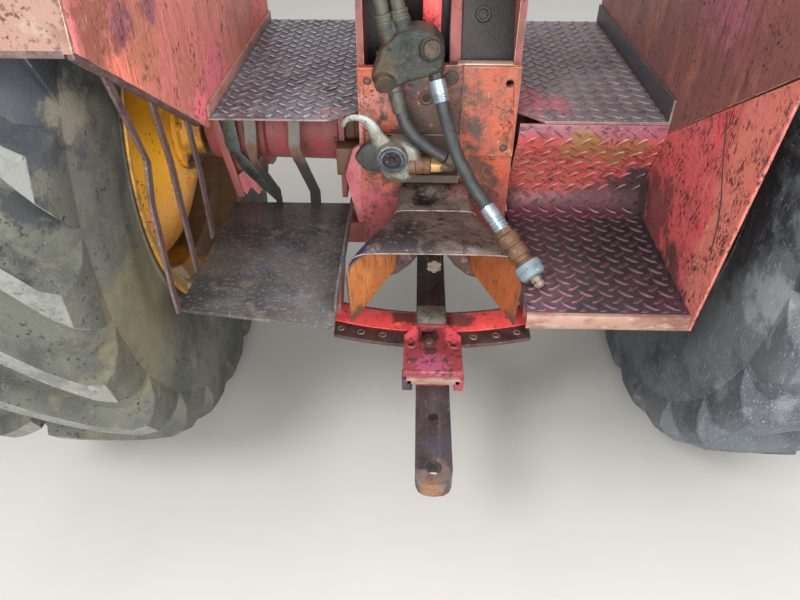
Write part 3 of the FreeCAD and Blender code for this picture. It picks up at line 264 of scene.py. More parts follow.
# Bright pink-red enamel on the drawbar's support and the tower's post, lately cleaned by rubbing
bright_enamel = finish("rubbed_bright_enamel", "#EE514F", [
    ("#FB7A73", mottled, 40, 0.5, 0.7, 0.7),
    ("#C83940", mottled, 60, 0.54, 0.74, 0.7, (1, 1, 1), 6, 4),
    ("#513531", near, (-70, -1310, -424), 42, 0.9),
    ("#514039", near, (70, -1310, -424), 40, 0.85),
    ("#623733", chips, 9, 0.52, 0.63, 0.9),
    ("#412E2C", mottled, 14, 0.6, 0.68, 0.85),
], 0.42, bump=0.3, grain=4, coat=0.15)

# Red enamel on the drawbar's carrier, half of it gone to dark grease and rust
carrier_enamel = finish("battered_red_enamel", "#8A363C", [
    ("#DA5058", near, (52, -1392, -399), 38, 0.92),
    ("#DA5058", near, (-56, -1390, -399), 36, 0.9),
    ("#A04A68", near, (0, -1500, -399), 46, 0.9),
    ("#2E1C20", near, (-6, -1402, -402), 36, 0.95),
    ("#3A2226", near, (-4, -1448, -402), 22, 0.85),
    ("#4A2A2A", mottled, 18, 0.54, 0.62, 0.9, (1, 1, 1), 6, 5),
    ("#2A2024", mottled, 11, 0.59, 0.66, 0.85, (1, 1, 1), 4, 8),
    ("#C8867A", chips, 4, 0.6, 0.68, 0.7),
], 0.42, bump=0.5, grain=4, coat=0.1)

# Steel tread plate on the left deck, worn grey by boots, with a purple cast of old paint
deck_steel = finish("boot_worn_tread_plate", "#74757C", [
    ("#5A545E", mottled, 130, 0.46, 0.62, 0.8),
    ("#94928E", mottled, 70, 0.56, 0.7, 0.6, (1, 1, 1), 8, 5),
    ("#463E44", mottled, 18, 0.53, 0.65, 0.85, (1, 1, 1), 8),
    ("#A86C70", near, (-250, -1150, 47), 40, 0.5),
    ("#33302E", near, (-258, -1013, 48), 20, 0.8),
    ("#2E2A2C", chips, 6, 0.54, 0.64, 0.85),
], 0.4, metallic=0.25, bump=0.35, grain=3)

# The right deck's tread plate: browner, with red paint left towards the frame
deck_right_steel = finish("brown_worn_tread_plate", "#776C71", [
    ("#61555E", mottled, 130, 0.45, 0.65, 0.8),
    ("#988E91", mottled, 60, 0.56, 0.74, 0.6, (1, 1, 1), 8, 5),
    ("#B95F6B", near, (215, -1080, 47), 105, 0.8),
    ("#805F54", mottled, 18, 0.54, 0.68, 0.8, (1, 1, 1), 8),
    ("#3F3636", chips, 8, 0.54, 0.65, 0.85),
], 0.44, metallic=0.2, bump=0.35, grain=3)

# The right step's tread: dark plum steel where feet rub, dusty pink paint in the corners
step_steel = finish("plum_worn_tread_plate", "#343235", [
    ("#523D48", mottled, 90, 0.46, 0.66, 0.75),
    ("#242529", near, (430, -1330, -207), 130, 0.8),
    ("#684F59", near, (215, -1480, -207), 95, 0.55),
    ("#4F4E48", mottled, 26, 0.58, 0.72, 0.5, (1, 1, 1), 8, 4),
    ("#19191A", chips, 7, 0.55, 0.66, 0.85),
], 0.46, metallic=0.2, bump=0.35, grain=3)

# The flat tops of the step's ribs, where the paint is worn to dark steel
rib_steel = finish("dark_polished_ribs", "#42363C", [
    ("#5E4650", mottled, 40, 0.5, 0.66, 0.7),
    ("#2C2628", mottled, 26, 0.52, 0.66, 0.8, (1, 1, 1), 6, 4),
], 0.34, metallic=0.25, bump=0.2, grain=2)

# Paint that stays in the lee of the ribs on the step
rib_edge = finish("pink_paint_in_corners", "#603A45", [
    ("#40303A", mottled, 46, 0.46, 0.6, 0.9),
    ("#8A5866", near, (215, -1480, -207), 110, 0.7),
    ("#3C3236", near, (430, -1300, -207), 140, 0.7),
    ("#94707A", mottled, 12, 0.61, 0.7, 0.55),
], 0.5, bump=0.2, grain=2)

# The riser between deck and step: red paint under an olive film of oil and dust, with painted shade at its outboard end
# in the corner against the side guard
riser_enamel = finish("oil_filmed_red_enamel", "#BB5A53", [
    ("#C6494F", mottled, 90, 0.46, 0.62, 0.8),
    ("#965E6F", beyond, "Z", -6, 20, 0.9),
    ("#91713E", near, (330, -1188, -34), 62, 0.85),
    ("#916B46", near, (430, -1180, -46), 60, 0.8),
    ("#9E7851", mottled, 26, 0.54, 0.66, 0.6, (3, 1, 0.6)),
    ("#704540", mottled, 50, 0.54, 0.68, 0.8, (2, 1, 1), 8, 5),
    ("#4C3440", beyond, "Z", -150, -196, 0.92),
    # painted shade in the corner against the side guard
    ("#3D383B", near, (505, -1112, -150), 105, 0.92),
    ("#593C40", near, (430, -1112, -190), 90, 0.85),
    ("#422B2C", mottled, 20, 0.57, 0.66, 0.8, (2, 1, 1), 8, 9),
    ("#4E2B2C", chips, 8, 0.52, 0.62, 0.85),
], 0.44, bump=0.35, grain=3, coat=0.1)

# Dark sheet steel of the left step: mill scale polished by boots, with dust and rust brown
step_sheet = finish("boot_blackened_sheet", "#555453", [
    ("#3A3C41", mottled, 110, 0.46, 0.62, 0.85),
    ("#756D62", mottled, 46, 0.52, 0.7, 0.8, (1, 1, 1), 8, 4),
    ("#515D6F", mottled, 60, 0.56, 0.7, 0.6, (1, 1, 1), 8, 9),
    ("#898A85", mottled, 9, 0.55, 0.66, 0.65, (1, 1, 1), 8, 2),
    ("#62473F", chips, 9, 0.54, 0.64, 0.8),
    ("#B6B6AD", mottled, 2.4, 0.66, 0.71, 0.6, (7, 0.6, 0.6), 2, 3),
], 0.42, metallic=0.35, bump=0.3, grain=3)

# Sheet steel edges where the paint is rubbed through: pale, a little shiny
worn_edge = finish("rubbed_sheet_edge", "#B08A78", [
    ("#7A564A", mottled, 24, 0.46, 0.6, 0.8),
    ("#D2B8A6", mottled, 9, 0.58, 0.7, 0.7),
], 0.42, metallic=0.35, bump=0.2, grain=2)

# Dark angle steel of the guard bars and straps, brown with rubbed edges
bar_steel = finish("brown_strap_steel", "#5F4C4B", [
    ("#7A6662", mottled, 40, 0.5, 0.7, 0.7, (1, 1, 3)),
    ("#43302F", mottled, 20, 0.52, 0.68, 0.8),
    ("#9A8A82", chips, 6, 0.58, 0.68, 0.7),
    ("#9C8F8A", near, (-330, -1180, 20), 75, 0.6),
], 0.45, metallic=0.3, bump=0.3, grain=3)

# Straps of the left step: rubbed pale at the deck, brown below that, black with damp at the foot
strap_steel = finish("damp_footed_strap", "#7A746E", [
    ("#5E5E6A", mottled, 18, 0.5, 0.66, 0.7),
    ("#6A4E36", beyond, "Z", -30, -62, 0.9),
    ("#26221F", beyond, "Z", -68, -110, 0.95),
], 0.45, metallic=0.3, bump=0.3, grain=3)

# The carrier's domed shoe: cast iron, grey-green with dust and oil
shoe_iron = finish("dusty_shoe_iron", "#57564C", [
    ("#34342E", mottled, 20, 0.46, 0.6, 0.85),
    ("#84806C", mottled, 12, 0.57, 0.68, 0.7, (1, 1, 1), 6, 4),
    ("#5A3A30", chips, 5, 0.54, 0.64, 0.8),
], 0.5, bump=0.6, grain=2.5)

# Struts under the left fender: black oil over old green paint
strut_steel = finish("oily_green_strut", "#39423A", [
    ("#20231F", mottled, 30, 0.46, 0.62, 0.85),
    ("#6E6A56", mottled, 14, 0.56, 0.7, 0.6),
], 0.45, bump=0.4, grain=3)

# Wheel hub: golden at its rear, brown-black towards its front
hub_enamel = finish("front_darkened_hub", "#D8982A", [
    ("#33271F", beyond, "Y", -1040, -1012, 0.95),
    ("#6A4A28", mottled, 20, 0.56, 0.68, 0.7),
], 0.45, bump=0.4, grain=4)

# The plug in the hose's cap: grey steel browned by dirt
plug_steel = finish("dirty_plug_steel", "#86786A", [
    ("#54463A", mottled, 9, 0.48, 0.62, 0.85),
    ("#B4A898", mottled, 6, 0.6, 0.7, 0.6),
], 0.45, metallic=0.3, bump=0.4, grain=1.5)

# Rubbed edges of the guard bars, a little paler than their faces
bar_edge = finish("rubbed_bar_edge", "#988680", [
    ("#6A5650", mottled, 24, 0.46, 0.6, 0.85),
    ("#B8A49A", mottled, 9, 0.6, 0.7, 0.7),
], 0.45, metallic=0.3, bump=0.2, grain=2)

# Golden-yellow wheel enamel under dust, orange where it is stained
wheel_enamel = finish("golden_wheel_enamel", "#E3A325", [
    ("#E5A050", beyond, "Z", -150, -230, 0.75),
    ("#C08A2A", mottled, 60, 0.54, 0.72, 0.6, (1, 1, 1.6), 6, 3),
    ("#8A6030", mottled, 26, 0.6, 0.72, 0.6, (1, 1, 1), 6, 8),
    ("#4A3420", chips, 9, 0.56, 0.66, 0.85),
], 0.42, bump=0.25, grain=5, coat=0.15)

# Rim steel: the flange rubbed to silver, brown rust and dried mud in the well
rim_steel = finish("rusted_rim_steel", "#8A7660", [
    ("#6B4C36", mottled, 60, 0.46, 0.62, 0.85),
    ("#B9AEA0", mottled, 40, 0.58, 0.72, 0.7, (1, 1, 1), 6, 5),
    ("#46352A", mottled, 18, 0.56, 0.68, 0.7),
], 0.45, metallic=0.4, bump=0.4, grain=4)

# Tyre rubber: grey-green with dry dust, darker in broad patches, and painted shade in dark spots between the lugs high
# on its inner shoulder under the fender
tyre_rubber = finish("dusty_tyre_rubber", "#57584F", [
    ("#41433E", mottled, 170, 0.44, 0.62, 0.85),
    ("#716C57", mottled, 90, 0.52, 0.72, 0.7, (1, 1, 1), 6, 4),
    ("#2E3033", mottled, 240, 0.57, 0.7, 0.85, (1, 1, 1), 5, 8),
    ("#8B8677", mottled, 16, 0.6, 0.74, 0.4),
    ("#8F8873", mottled, 5, 0.6, 0.7, 0.35, (1, 1, 1), 8, 2),
    # painted shade: dark patches between the lugs and under the fender
    ("#2D3034", near, (-660, -1585, 269), 130, 0.85),
    ("#26292D", near, (-660, -1686, 116), 52, 0.9),
    ("#26292D", near, (-660, -1775, 69), 60, 0.9),
    ("#383A3F", near, (-630, -1589, 215), 60, 0.7),
    ("#1F2225", chips, 11, 0.58, 0.67, 0.85),
    ("#3C3F47", near, (-620, -1645, 282), 150, 0.8),
    ("#2A2D33", near, (-620, -1770, 166), 55, 0.9),
    ("#6E6444", near, (-600, -1510, -216), 190, 0.5),
    ("#8C8470", near, (-610, -1569, 223), 55, 0.55),
], 0.82, bump=0.4, grain=5, dull=0.12)

# Lug tops: rubber scoured pale by the ground
lug_rubber = finish("scoured_lug_rubber", "#777873", [
    ("#5C5D57", mottled, 60, 0.46, 0.66, 0.85),
    ("#92928D", mottled, 24, 0.55, 0.72, 0.7),
    ("#444543", chips, 8, 0.57, 0.67, 0.8),
], 0.85, bump=0.5, grain=5, dull=0.1)

# The right tyre's rubber: blue-black, partly its own darker rubber and partly painted shade, with a painted shadow over
# its upper part under the fender and a painted patch of light low at its back; finely scratched
dark_rubber = finish("oily_tyre_rubber", "#54595E", [
    ("#3A3E46", mottled, 170, 0.44, 0.6, 0.9),
    ("#74797C", mottled, 90, 0.55, 0.7, 0.7, (1, 1, 1), 6, 4),
    # a painted shadow under the fender, then a painted patch of light low at the back
    ("#23252C", near, (620, -1383, 25), 240, 0.92),
    ("#848A8C", near, (640, -1605, -113), 90, 0.7),
    ("#9A9E9E", mottled, 2.6, 0.62, 0.67, 0.6, (1, 1, 14), 3, 7),
    ("#8A8F90", mottled, 2.2, 0.64, 0.69, 0.6, (1, 12, 3), 3, 17),
    ("#2B2D33", mottled, 240, 0.56, 0.68, 0.85, (1, 1, 1), 5, 8),
], 0.55, bump=0.35, grain=5, dull=0.12)

# Pressed steel of the shield's outside: brown under a skin of old grease, with painted shade in the deep dent and on
# the downturned brow's left part, and a painted blue reflection beside it
shield_steel = finish("grease_browned_pressing", "#5E504A", [
    ("#463834", mottled, 50, 0.46, 0.64, 0.85, (2, 1, 1), 8),
    ("#7C6E68", mottled, 26, 0.55, 0.7, 0.75, (3, 1, 1), 8, 4),
    ("#7A4A44", near, (60, -1195, -122), 34, 0.7),
    # painted shade in the dent and on the brow, then a painted blue reflection
    ("#2A2022", near, (-20, -1213, -134), 34, 0.95),
    ("#1F1B1F", near, (-80, -1366, -178), 92, 0.92),
    ("#34425E", near, (-165, -1352, -190), 44, 0.8),
    ("#3A2C28", mottled, 60, 0.57, 0.68, 0.8, (1, 1, 1), 8, 8),
    ("#7A4A30", mottled, 14, 0.58, 0.7, 0.65),
    ("#201818", chips, 7, 0.54, 0.64, 0.9),
    ("#A8A09C", mottled, 2.2, 0.68, 0.72, 0.6, (9, 0.6, 0.6), 2, 5),
    ("#2C2220", mottled, 16, 0.55, 0.63, 0.85, (1.6, 1, 1), 8, 6),
    ("#94847A", mottled, 8, 0.61, 0.68, 0.6, (1.6, 1, 1), 8, 12),
], 0.32, metallic=0.3, bump=0.45, grain=3)

# The shield's inside: dry orange rust with dark drips down it
shield_rust = finish("dry_orange_rust", "#B5713F", [
    ("#CF8A50", mottled, 40, 0.5, 0.7, 0.7, (1, 1, 1.6)),
    ("#8A3E22", beyond, "X", 40, 120, 0.6),
    ("#8A4A28", mottled, 24, 0.5, 0.66, 0.85, (0.5, 0.5, 3), 8),
    ("#3A221A", mottled, 8, 0.57, 0.67, 0.9, (0.5, 0.5, 4), 6),
    ("#4A4A34", near, (-196, -1370, -375), 40, 0.85),
    ("#4A4A34", near, (196, -1370, -375), 40, 0.85),
    ("#A0A0A8", mottled, 30, 0.68, 0.76, 0.35, (1, 1, 1), 4, 9),
], 0.58, metallic=0.1, bump=0.4, grain=3)

# Cast iron of the valve under oil: green-black with rust-brown grit stuck to it
valve_iron = finish("oily_cast_iron", "#3A3E3B", [
    ("#54432D", near, (-140, -1232, 170), 62, 0.75),
    ("#25292A", mottled, 46, 0.48, 0.66, 0.85, (1, 1, 1), 6, 5),
    ("#614F3A", chips, 7, 0.53, 0.64, 0.7),
    ("#161919", mottled, 12, 0.58, 0.68, 0.8),
    ("#656B68", mottled, 20, 0.64, 0.74, 0.5, (1, 1, 1), 5, 3),
], 0.4, metallic=0.2, bump=0.8, grain=3)

# Brown grease caked on iron: the power take-off's housing and the brackets round it
greasy_iron = finish("grease_caked_iron", "#4B4037", [
    ("#5F4B3A", mottled, 40, 0.48, 0.66, 0.8),
    ("#2C2622", mottled, 30, 0.54, 0.7, 0.85, (1, 1, 1), 6, 3),
    ("#7A4A46", mottled, 60, 0.6, 0.74, 0.6, (1, 1, 1), 6, 9),
], 0.48, metallic=0.1, bump=0.6, grain=4)

# Painted supply pipes under grey-green dust
pipe_steel = finish("dusty_painted_pipe", "#4E4E46", [
    ("#76766A", mottled, 26, 0.5, 0.68, 0.75, (1, 1, 2)),
    ("#3A3B36", mottled, 20, 0.52, 0.68, 0.85),
    ("#5A4032", chips, 6, 0.56, 0.66, 0.7),
], 0.5, metallic=0.15, bump=0.35, grain=3)

# Dark sheet in the tower: green-black oil film over red paint
cover_sheet = finish("oil_black_sheet", "#242321", [
    ("#1C1E1B", mottled, 90, 0.46, 0.64, 0.85),
    ("#31302C", mottled, 40, 0.56, 0.72, 0.6, (1, 1, 1), 6, 4),
    ("#572F29", chips, 5, 0.6, 0.68, 0.8),
    ("#5C5C57", mottled, 1.8, 0.7, 0.74, 0.7, (0.5, 0.5, 14), 2, 6),
], 0.42, metallic=0.15, bump=0.35, grain=4)

# Zinc-plated crimps: bright grey-blue with faint rolling marks
zinc = finish("zinc_plated_sleeve", "#A6B8C4", [
    ("#8494A0", mottled, 12, 0.48, 0.66, 0.75),
    ("#D6E2EA", mottled, 7, 0.58, 0.7, 0.7),
    ("#5A524C", chips, 4, 0.56, 0.66, 0.8),
], 0.3, metallic=0.7, bump=0.2, grain=1.5)

# Cast coupler: pale zinc, sandy skin, dirt in its hollows
cast_zinc = finish("sandy_cast_zinc", "#828278", [
    ("#646357", mottled, 26, 0.48, 0.64, 0.85),
    ("#A6AEA9", near, (-165, -1215, 62), 48, 0.75),
    ("#A3A69F", mottled, 16, 0.56, 0.7, 0.7, (1, 1, 1), 6, 4),
    ("#3F3B33", mottled, 9, 0.57, 0.67, 0.85),
], 0.38, metallic=0.5, bump=0.6, grain=2)

# Rusty collar of the coupler and the hose's adapter: light brown, dry
adapter_steel = finish("light_rust_fitting", "#684C37", [
    ("#4C3324", mottled, 14, 0.48, 0.64, 0.85),
    ("#8D725B", mottled, 10, 0.58, 0.7, 0.7),
    ("#291E19", chips, 4, 0.54, 0.64, 0.85),
], 0.5, metallic=0.25, bump=0.6, grain=2)

# Dull yellow brass
brass = finish("dull_yellow_brass", "#B8935A", [
    ("#8F6C3E", mottled, 12, 0.5, 0.66, 0.7),
    ("#D2B47C", mottled, 8, 0.6, 0.72, 0.6),
], 0.36, metallic=0.6, bump=0.3, grain=1.5)

# Hose rubber: dark blue-grey, wiped dull, with dust on it
hose_rubber = finish("dusty_hose_rubber", "#353838", [
    ("#25292B", mottled, 30, 0.46, 0.62, 0.85),
    ("#4E4C46", mottled, 22, 0.56, 0.72, 0.7, (1, 1, 1), 6, 4),
    ("#1B1D1E", chips, 5, 0.58, 0.68, 0.7),
], 0.55, bump=0.3, grain=1.5)

# Pale blue-grey moulded cap, scuffed
cap_plastic = finish("pale_moulded_cap", "#6D7D83", [
    ("#566870", mottled, 20, 0.48, 0.66, 0.75),
    ("#8F9C9B", mottled, 10, 0.58, 0.7, 0.7),
    ("#494137", chips, 5, 0.55, 0.65, 0.85),
], 0.5, bump=0.25, grain=1.5)

# Drawbar steel: dark brown forging scale, rubbed to grey-tan at the hitch end, with a painted shadow in dark purple
# where it runs forward under the support
drawbar_steel = finish("scaled_drawbar_steel", "#443A3E", [
    ("#2E2629", mottled, 60, 0.46, 0.62, 0.85),
    ("#4A4656", near, (12, -1690, -445), 42, 0.6),
    ("#7A6A62", near, (0, -1775, -445), 48, 0.85),
    ("#8E6244", near, (0, -1795, -470), 34, 0.85),
    ("#6E6266", mottled, 9, 0.57, 0.66, 0.75, (1, 2.5, 1), 8),
    # painted shadow where the bar runs forward under the support
    ("#341A26", near, (0, -1260, -445), 150, 0.85),
    ("#6A4632", chips, 7, 0.52, 0.63, 0.85),
    ("#1C1618", mottled, 5, 0.62, 0.68, 0.85, (1, 1, 1), 4, 5),
], 0.44, metallic=0.3, bump=0.7, grain=3)

# Dark rim of the drawbar's support, polished by the carrier and blackened again
support_rear = finish("blackened_slide_steel", "#55403E", [
    ("#3A2A2A", mottled, 40, 0.48, 0.64, 0.85),
    ("#7A6058", mottled, 16, 0.58, 0.7, 0.7),
    ("#9A4444", chips, 7, 0.58, 0.68, 0.6),
], 0.4, metallic=0.3, bump=0.35, grain=3)

# Bare machined steel of the splined stub, browned
shaft_steel = finish("browned_spline_steel", "#7E766C", [
    ("#4E463F", mottled, 14, 0.48, 0.64, 0.8),
    ("#A09888", mottled, 8, 0.6, 0.72, 0.6),
], 0.36, metallic=0.7, bump=0.3, grain=1.5)

# Bolt heads and nuts: rust-brown steel with rubbed corners
bolt_steel = finish("rust_brown_bolts", "#6A5347", [
    ("#46362F", mottled, 10, 0.48, 0.62, 0.8),
    ("#98826F", mottled, 6, 0.6, 0.7, 0.7),
], 0.46, metallic=0.4, bump=0.4, grain=1.5)

# Rim enamel: the same gold, rubbed to bright steel on its lip and brown towards its front
rim_enamel = finish("front_browned_rim_enamel", "#C08E34", [
    ("#8A6A3E", mottled, 60, 0.46, 0.62, 0.7, (3, 1, 1)),
    ("#64503F", beyond, "Y", -1010, -930, 0.95),
    ("#4A3A2E", mottled, 40, 0.54, 0.68, 0.75, (6, 1, 1), 6, 3),
    ("#E2DCCB", near, (-650, -1180, -400), 120, 0.75),
    ("#8A7866", mottled, 14, 0.58, 0.7, 0.6, (8, 1, 1), 5, 6),
], 0.42, metallic=0.2, bump=0.35, grain=4)

# Brown-pink enamel on the left deck's kick strip
strip_enamel = finish("brown_kick_strip", "#A5786B", [
    ("#7C5346", mottled, 50, 0.46, 0.66, 0.8, (1, 2, 1)),
    ("#CD9983", mottled, 20, 0.58, 0.72, 0.6, (1, 3, 1)),
    ("#503A35", chips, 7, 0.56, 0.66, 0.8),
], 0.5, bump=0.3, grain=3)

# The right deck's kick strip: dark plum-grey
dark_strip = finish("earth_dark_kick_strip", "#40393D", [
    ("#302A2E", mottled, 60, 0.46, 0.66, 0.8, (1, 2, 1)),
    ("#594D4E", mottled, 20, 0.58, 0.72, 0.6, (1, 3, 1)),
], 0.55, bump=0.3, grain=3)

# Pale edges of sheet steel, scraped bright
pale_edge = finish("scraped_pale_edge", "#C4A898", [
    ("#8E6E60", mottled, 30, 0.48, 0.62, 0.8),
    ("#E2D2C6", mottled, 12, 0.58, 0.7, 0.7),
], 0.38, metallic=0.4, bump=0.2, grain=2)

# Bright tops of the lozenges on the left deck, polished by boots, with painted glints in near-white patches
polished_ribs = finish("polished_glinting_lozenge_tops", "#BAB8BE", [
    ("#8A868C", mottled, 40, 0.48, 0.62, 0.7),
    # painted glints
    ("#F0F0F2", mottled, 16, 0.54, 0.64, 0.85),
    ("#5E5054", mottled, 26, 0.6, 0.68, 0.75, (1, 1, 1), 5, 3),
], 0.3, metallic=0.3, bump=0.15, grain=1.5)

# Browner tops of the right deck's lozenges
brown_ribs = finish("brown_lozenge_tops", "#7A6C70", [
    ("#5E5054", mottled, 40, 0.46, 0.62, 0.8),
    ("#9A8E90", mottled, 14, 0.58, 0.7, 0.6),
], 0.32, metallic=0.45, bump=0.15, grain=1.5)

# Tops of the riser's lozenges: plum and red, rubbed, with painted shade in the corner against the side guard
riser_tops = finish("plum_lozenge_tops", "#8A4A4C", [
    ("#6E4656", beyond, "Z", -6, 20, 0.95),
    ("#6A3E4A", mottled, 40, 0.46, 0.62, 0.8),
    ("#7A5A38", near, (380, -1184, -40), 95, 0.75),
    ("#3E2C34", beyond, "Z", -150, -196, 0.92),
    # painted shade in the corner against the side guard
    ("#352E30", near, (505, -1112, -150), 105, 0.92),
], 0.42, metallic=0.1, bump=0.2, grain=2, coat=0.05)

# The step's folded rear lip: tan-pink, rubbed
lip_enamel = finish("tan_rubbed_lip", "#97786A", [
    ("#7A5048", mottled, 30, 0.46, 0.64, 0.8, (2, 1, 1)),
    ("#B89A86", mottled, 16, 0.56, 0.7, 0.7, (3, 1, 1)),
], 0.45, metallic=0.2, bump=0.3, grain=2)

# Flanks of the riser's lozenges: thick red paint with an olive shine, and painted shade in the corner against the side
# guard
riser_ribs = finish("olive_red_flanks", "#A25C50", [
    ("#B47884", beyond, "Z", -6, 20, 0.9),
    ("#7A4040", mottled, 30, 0.46, 0.64, 0.8),
    ("#7A4A5A", beyond, "Z", -150, -196, 0.92),
    # painted shade in the corner against the side guard
    ("#4A3E40", near, (505, -1112, -150), 105, 0.9),
], 0.46, bump=0.2, grain=2, coat=0.05)

# The same enamel gone pink, low on the frame where oil ran over it
pink_enamel = finish("pink_bleached_enamel", "#B8646A", [
    ("#C87A70", mottled, 60, 0.46, 0.66, 0.8),
    ("#8A4A5A", mottled, 40, 0.54, 0.7, 0.8, (1, 1, 2), 5, 4),
    ("#5A3A36", chips, 6, 0.56, 0.66, 0.9),
], 0.45, bump=0.3, grain=3, coat=0.1)

# Blue-black ring round the coupler's socket
socket_ring = finish("blued_socket_ring", "#4C5A66", [
    ("#2A3038", mottled, 12, 0.46, 0.62, 0.8),
    ("#9AA8B4", mottled, 8, 0.6, 0.7, 0.7),
], 0.3, metallic=0.5, bump=0.2, grain=1.5)

# Dark iron lobes under the shield, their rims rubbed pink
lobe_iron = finish("pink_rimmed_iron", "#57443E", [
    ("#2E2624", mottled, 30, 0.46, 0.62, 0.85),
    ("#A06A64", mottled, 16, 0.57, 0.68, 0.8, (1, 1, 1), 5, 4),
], 0.4, metallic=0.1, bump=0.5, grain=3)

# Blackened cheeks of the carrier
cheek_steel = finish("blackened_cheek_steel", "#4A3A48", [
    ("#2E2838", mottled, 20, 0.46, 0.62, 0.85),
    ("#A0464E", mottled, 26, 0.57, 0.68, 0.8, (1, 1, 1), 5, 4),
], 0.4, metallic=0.2, bump=0.4, grain=3)

# Rubbed edges of the drawbar
drawbar_edge = finish("rubbed_drawbar_edge", "#7C6862", [
    ("#55484A", mottled, 30, 0.46, 0.62, 0.85),
    ("#9A8478", mottled, 12, 0.58, 0.7, 0.7),
], 0.4, metallic=0.45, bump=0.3, grain=2)

# Matt pale floor paint
floor_paint = finish("pale_floor_paint", "#BCBAB5", [
    ("#B6B4AF", mottled, 700, 0.4, 0.7, 0.6),
], 0.85, bump=0.0, grain=10, dull=0.05)

# Black inside a hole or a socket
hollow_black = finish("shadowed_hollow", "#1D1B1B", [
    ("#2E2A28", mottled, 8, 0.5, 0.66, 0.7),
], 0.7, bump=0.2, grain=2)


# Modelling: small steps that each piece is made with

def deselect():
    """Everything is let go, so that an operator acts on the new piece alone."""
    if bpy.context.object and bpy.context.object.mode != "OBJECT":
        bpy.ops.object.mode_set(mode="OBJECT")
    bpy.ops.object.select_all(action="DESELECT")


def pick(*pieces):
    """Only these pieces are selected, the first of them active."""
    deselect()
    for piece in pieces:
        piece.select_set(True)
    bpy.context.view_layer.objects.active = pieces[0]


def edit_all(piece):
    """Edit mode with all of the piece selected."""
    pick(piece)
    bpy.ops.object.mode_set(mode="EDIT")
    bpy.ops.mesh.select_all(action="SELECT")


def object_mode():
    bpy.ops.object.mode_set(mode="OBJECT")


def settle(piece):
    """The piece's place and turn go into its mesh."""
    pick(piece)
    bpy.ops.object.transform_apply(location=True, rotation=True, scale=True)


def use_modifier(piece, kind, **settings):
    """A modifier with its settings, applied."""
    pick(piece)
    modifier = piece.modifiers.new(kind.lower(), kind)
    for name, value in settings.items():
        setattr(modifier, name, value)
    bpy.ops.object.modifier_apply(modifier=modifier.name)


def soften(piece, width, segments=2, angle=32):
    """Sharp edges get a small round of this width in millimetres."""
    use_modifier(piece, "BEVEL", width=width * MM, segments=segments, limit_method="ANGLE",
                 angle_limit=math.radians(angle), harden_normals=False)


def shade(piece, angle=32):
    pick(piece)
    bpy.ops.object.shade_smooth_by_angle(angle=math.radians(angle))


def pulled_line(name, points):
    """A line of edges, pulled from point to point out of one vertex, left in edit mode."""
    deselect()
    bpy.ops.mesh.primitive_plane_add(size=0.01)
    piece = bpy.context.object
    piece.name = name
    bpy.ops.object.mode_set(mode="EDIT")
    bpy.ops.mesh.select_all(action="SELECT")
    bpy.ops.mesh.merge(type="CENTER")
    bpy.ops.transform.translate(value=points[0])
    for here, there in zip(points, points[1:]):
        bpy.ops.mesh.extrude_region_move(TRANSFORM_OT_translate={"value": there - here})
    bpy.ops.mesh.select_all(action="SELECT")
    return piece


def aim(piece, foot, tip):
    """A piece made along the upright axis is turned to point from foot to tip, and settled there."""
    piece.rotation_mode = "QUATERNION"
    piece.rotation_quaternion = Vector((0, 0, 1)).rotation_difference(at(*tip) - at(*foot))
    piece.location = at(*foot)
    settle(piece)


def turned(name, outline, foot, tip, steps=48, round_off=0):
    """A round piece: an outline of (distance from foot towards tip, radius) spun about that line."""
    piece = pulled_line(name, [Vector((radius, 0, along)) * MM for along, radius in outline])
    bpy.ops.mesh.spin(steps=steps, angle=math.tau, use_auto_merge=True, center=(0, 0, 0), axis=(0, 0, 1))
    bpy.ops.mesh.select_all(action="SELECT")
    bpy.ops.mesh.remove_doubles(threshold=1e-6)
    bpy.ops.mesh.normals_make_consistent(inside=False)
    object_mode()
    aim(piece, foot, tip)
    if round_off:
        soften(piece, round_off)
    shade(piece)
    return piece


# Ways a flat outline can face: what its own right, up and thickness become
FACINGS = {
    "back": Matrix(((1, 0, 0, 0), (0, 0, -1, 0), (0, 1, 0, 0), (0, 0, 0, 1))),
    "side": Matrix(((0, 0, 1, 0), (1, 0, 0, 0), (0, 1, 0, 0), (0, 0, 0, 1))),
    "top": Matrix(),
}


def slab(name, outline, thickness, facing, depth, round_off=1.5, segments=2):
    """A plate: an outline given a thickness, facing back, side or top, its first face at a depth."""
    corners = [Vector((right, up, 0)) * MM for right, up in outline]
    piece = pulled_line(name, corners)
    bpy.ops.mesh.edge_face_add()
    move = {"value": (0, 0, thickness * MM)}
    bpy.ops.mesh.extrude_region_move(TRANSFORM_OT_translate=move)
    bpy.ops.mesh.select_all(action="SELECT")
    bpy.ops.mesh.normals_make_consistent(inside=False)
    object_mode()
    way = FACINGS[facing]
    piece.matrix_world = Matrix.Translation(way @ Vector((0, 0, depth * MM))) @ way
    settle(piece)
    if round_off:
        soften(piece, round_off, segments)
    shade(piece)
    return piece


def block(name, low, high, round_off=1.5, segments=2):
    """A block between two corners with rounded edges."""
    deselect()
    bpy.ops.mesh.primitive_cube_add(size=1)
    piece = bpy.context.object
    piece.name = name
    piece.location = (at(*low) + at(*high)) / 2
    piece.scale = at(*high) - at(*low)
    settle(piece)
    if round_off:
        soften(piece, round_off, segments)
    shade(piece)
    return piece


def tube(name, points, radius, order=3, sides=6):
    """A smooth round tube along control points, as a mesh."""
    curve = cord_curve(name, points, radius, order, sides)
    pick(curve)
    bpy.ops.object.convert(target="MESH")
    piece = bpy.context.object
    shade(piece, 60)
    return piece


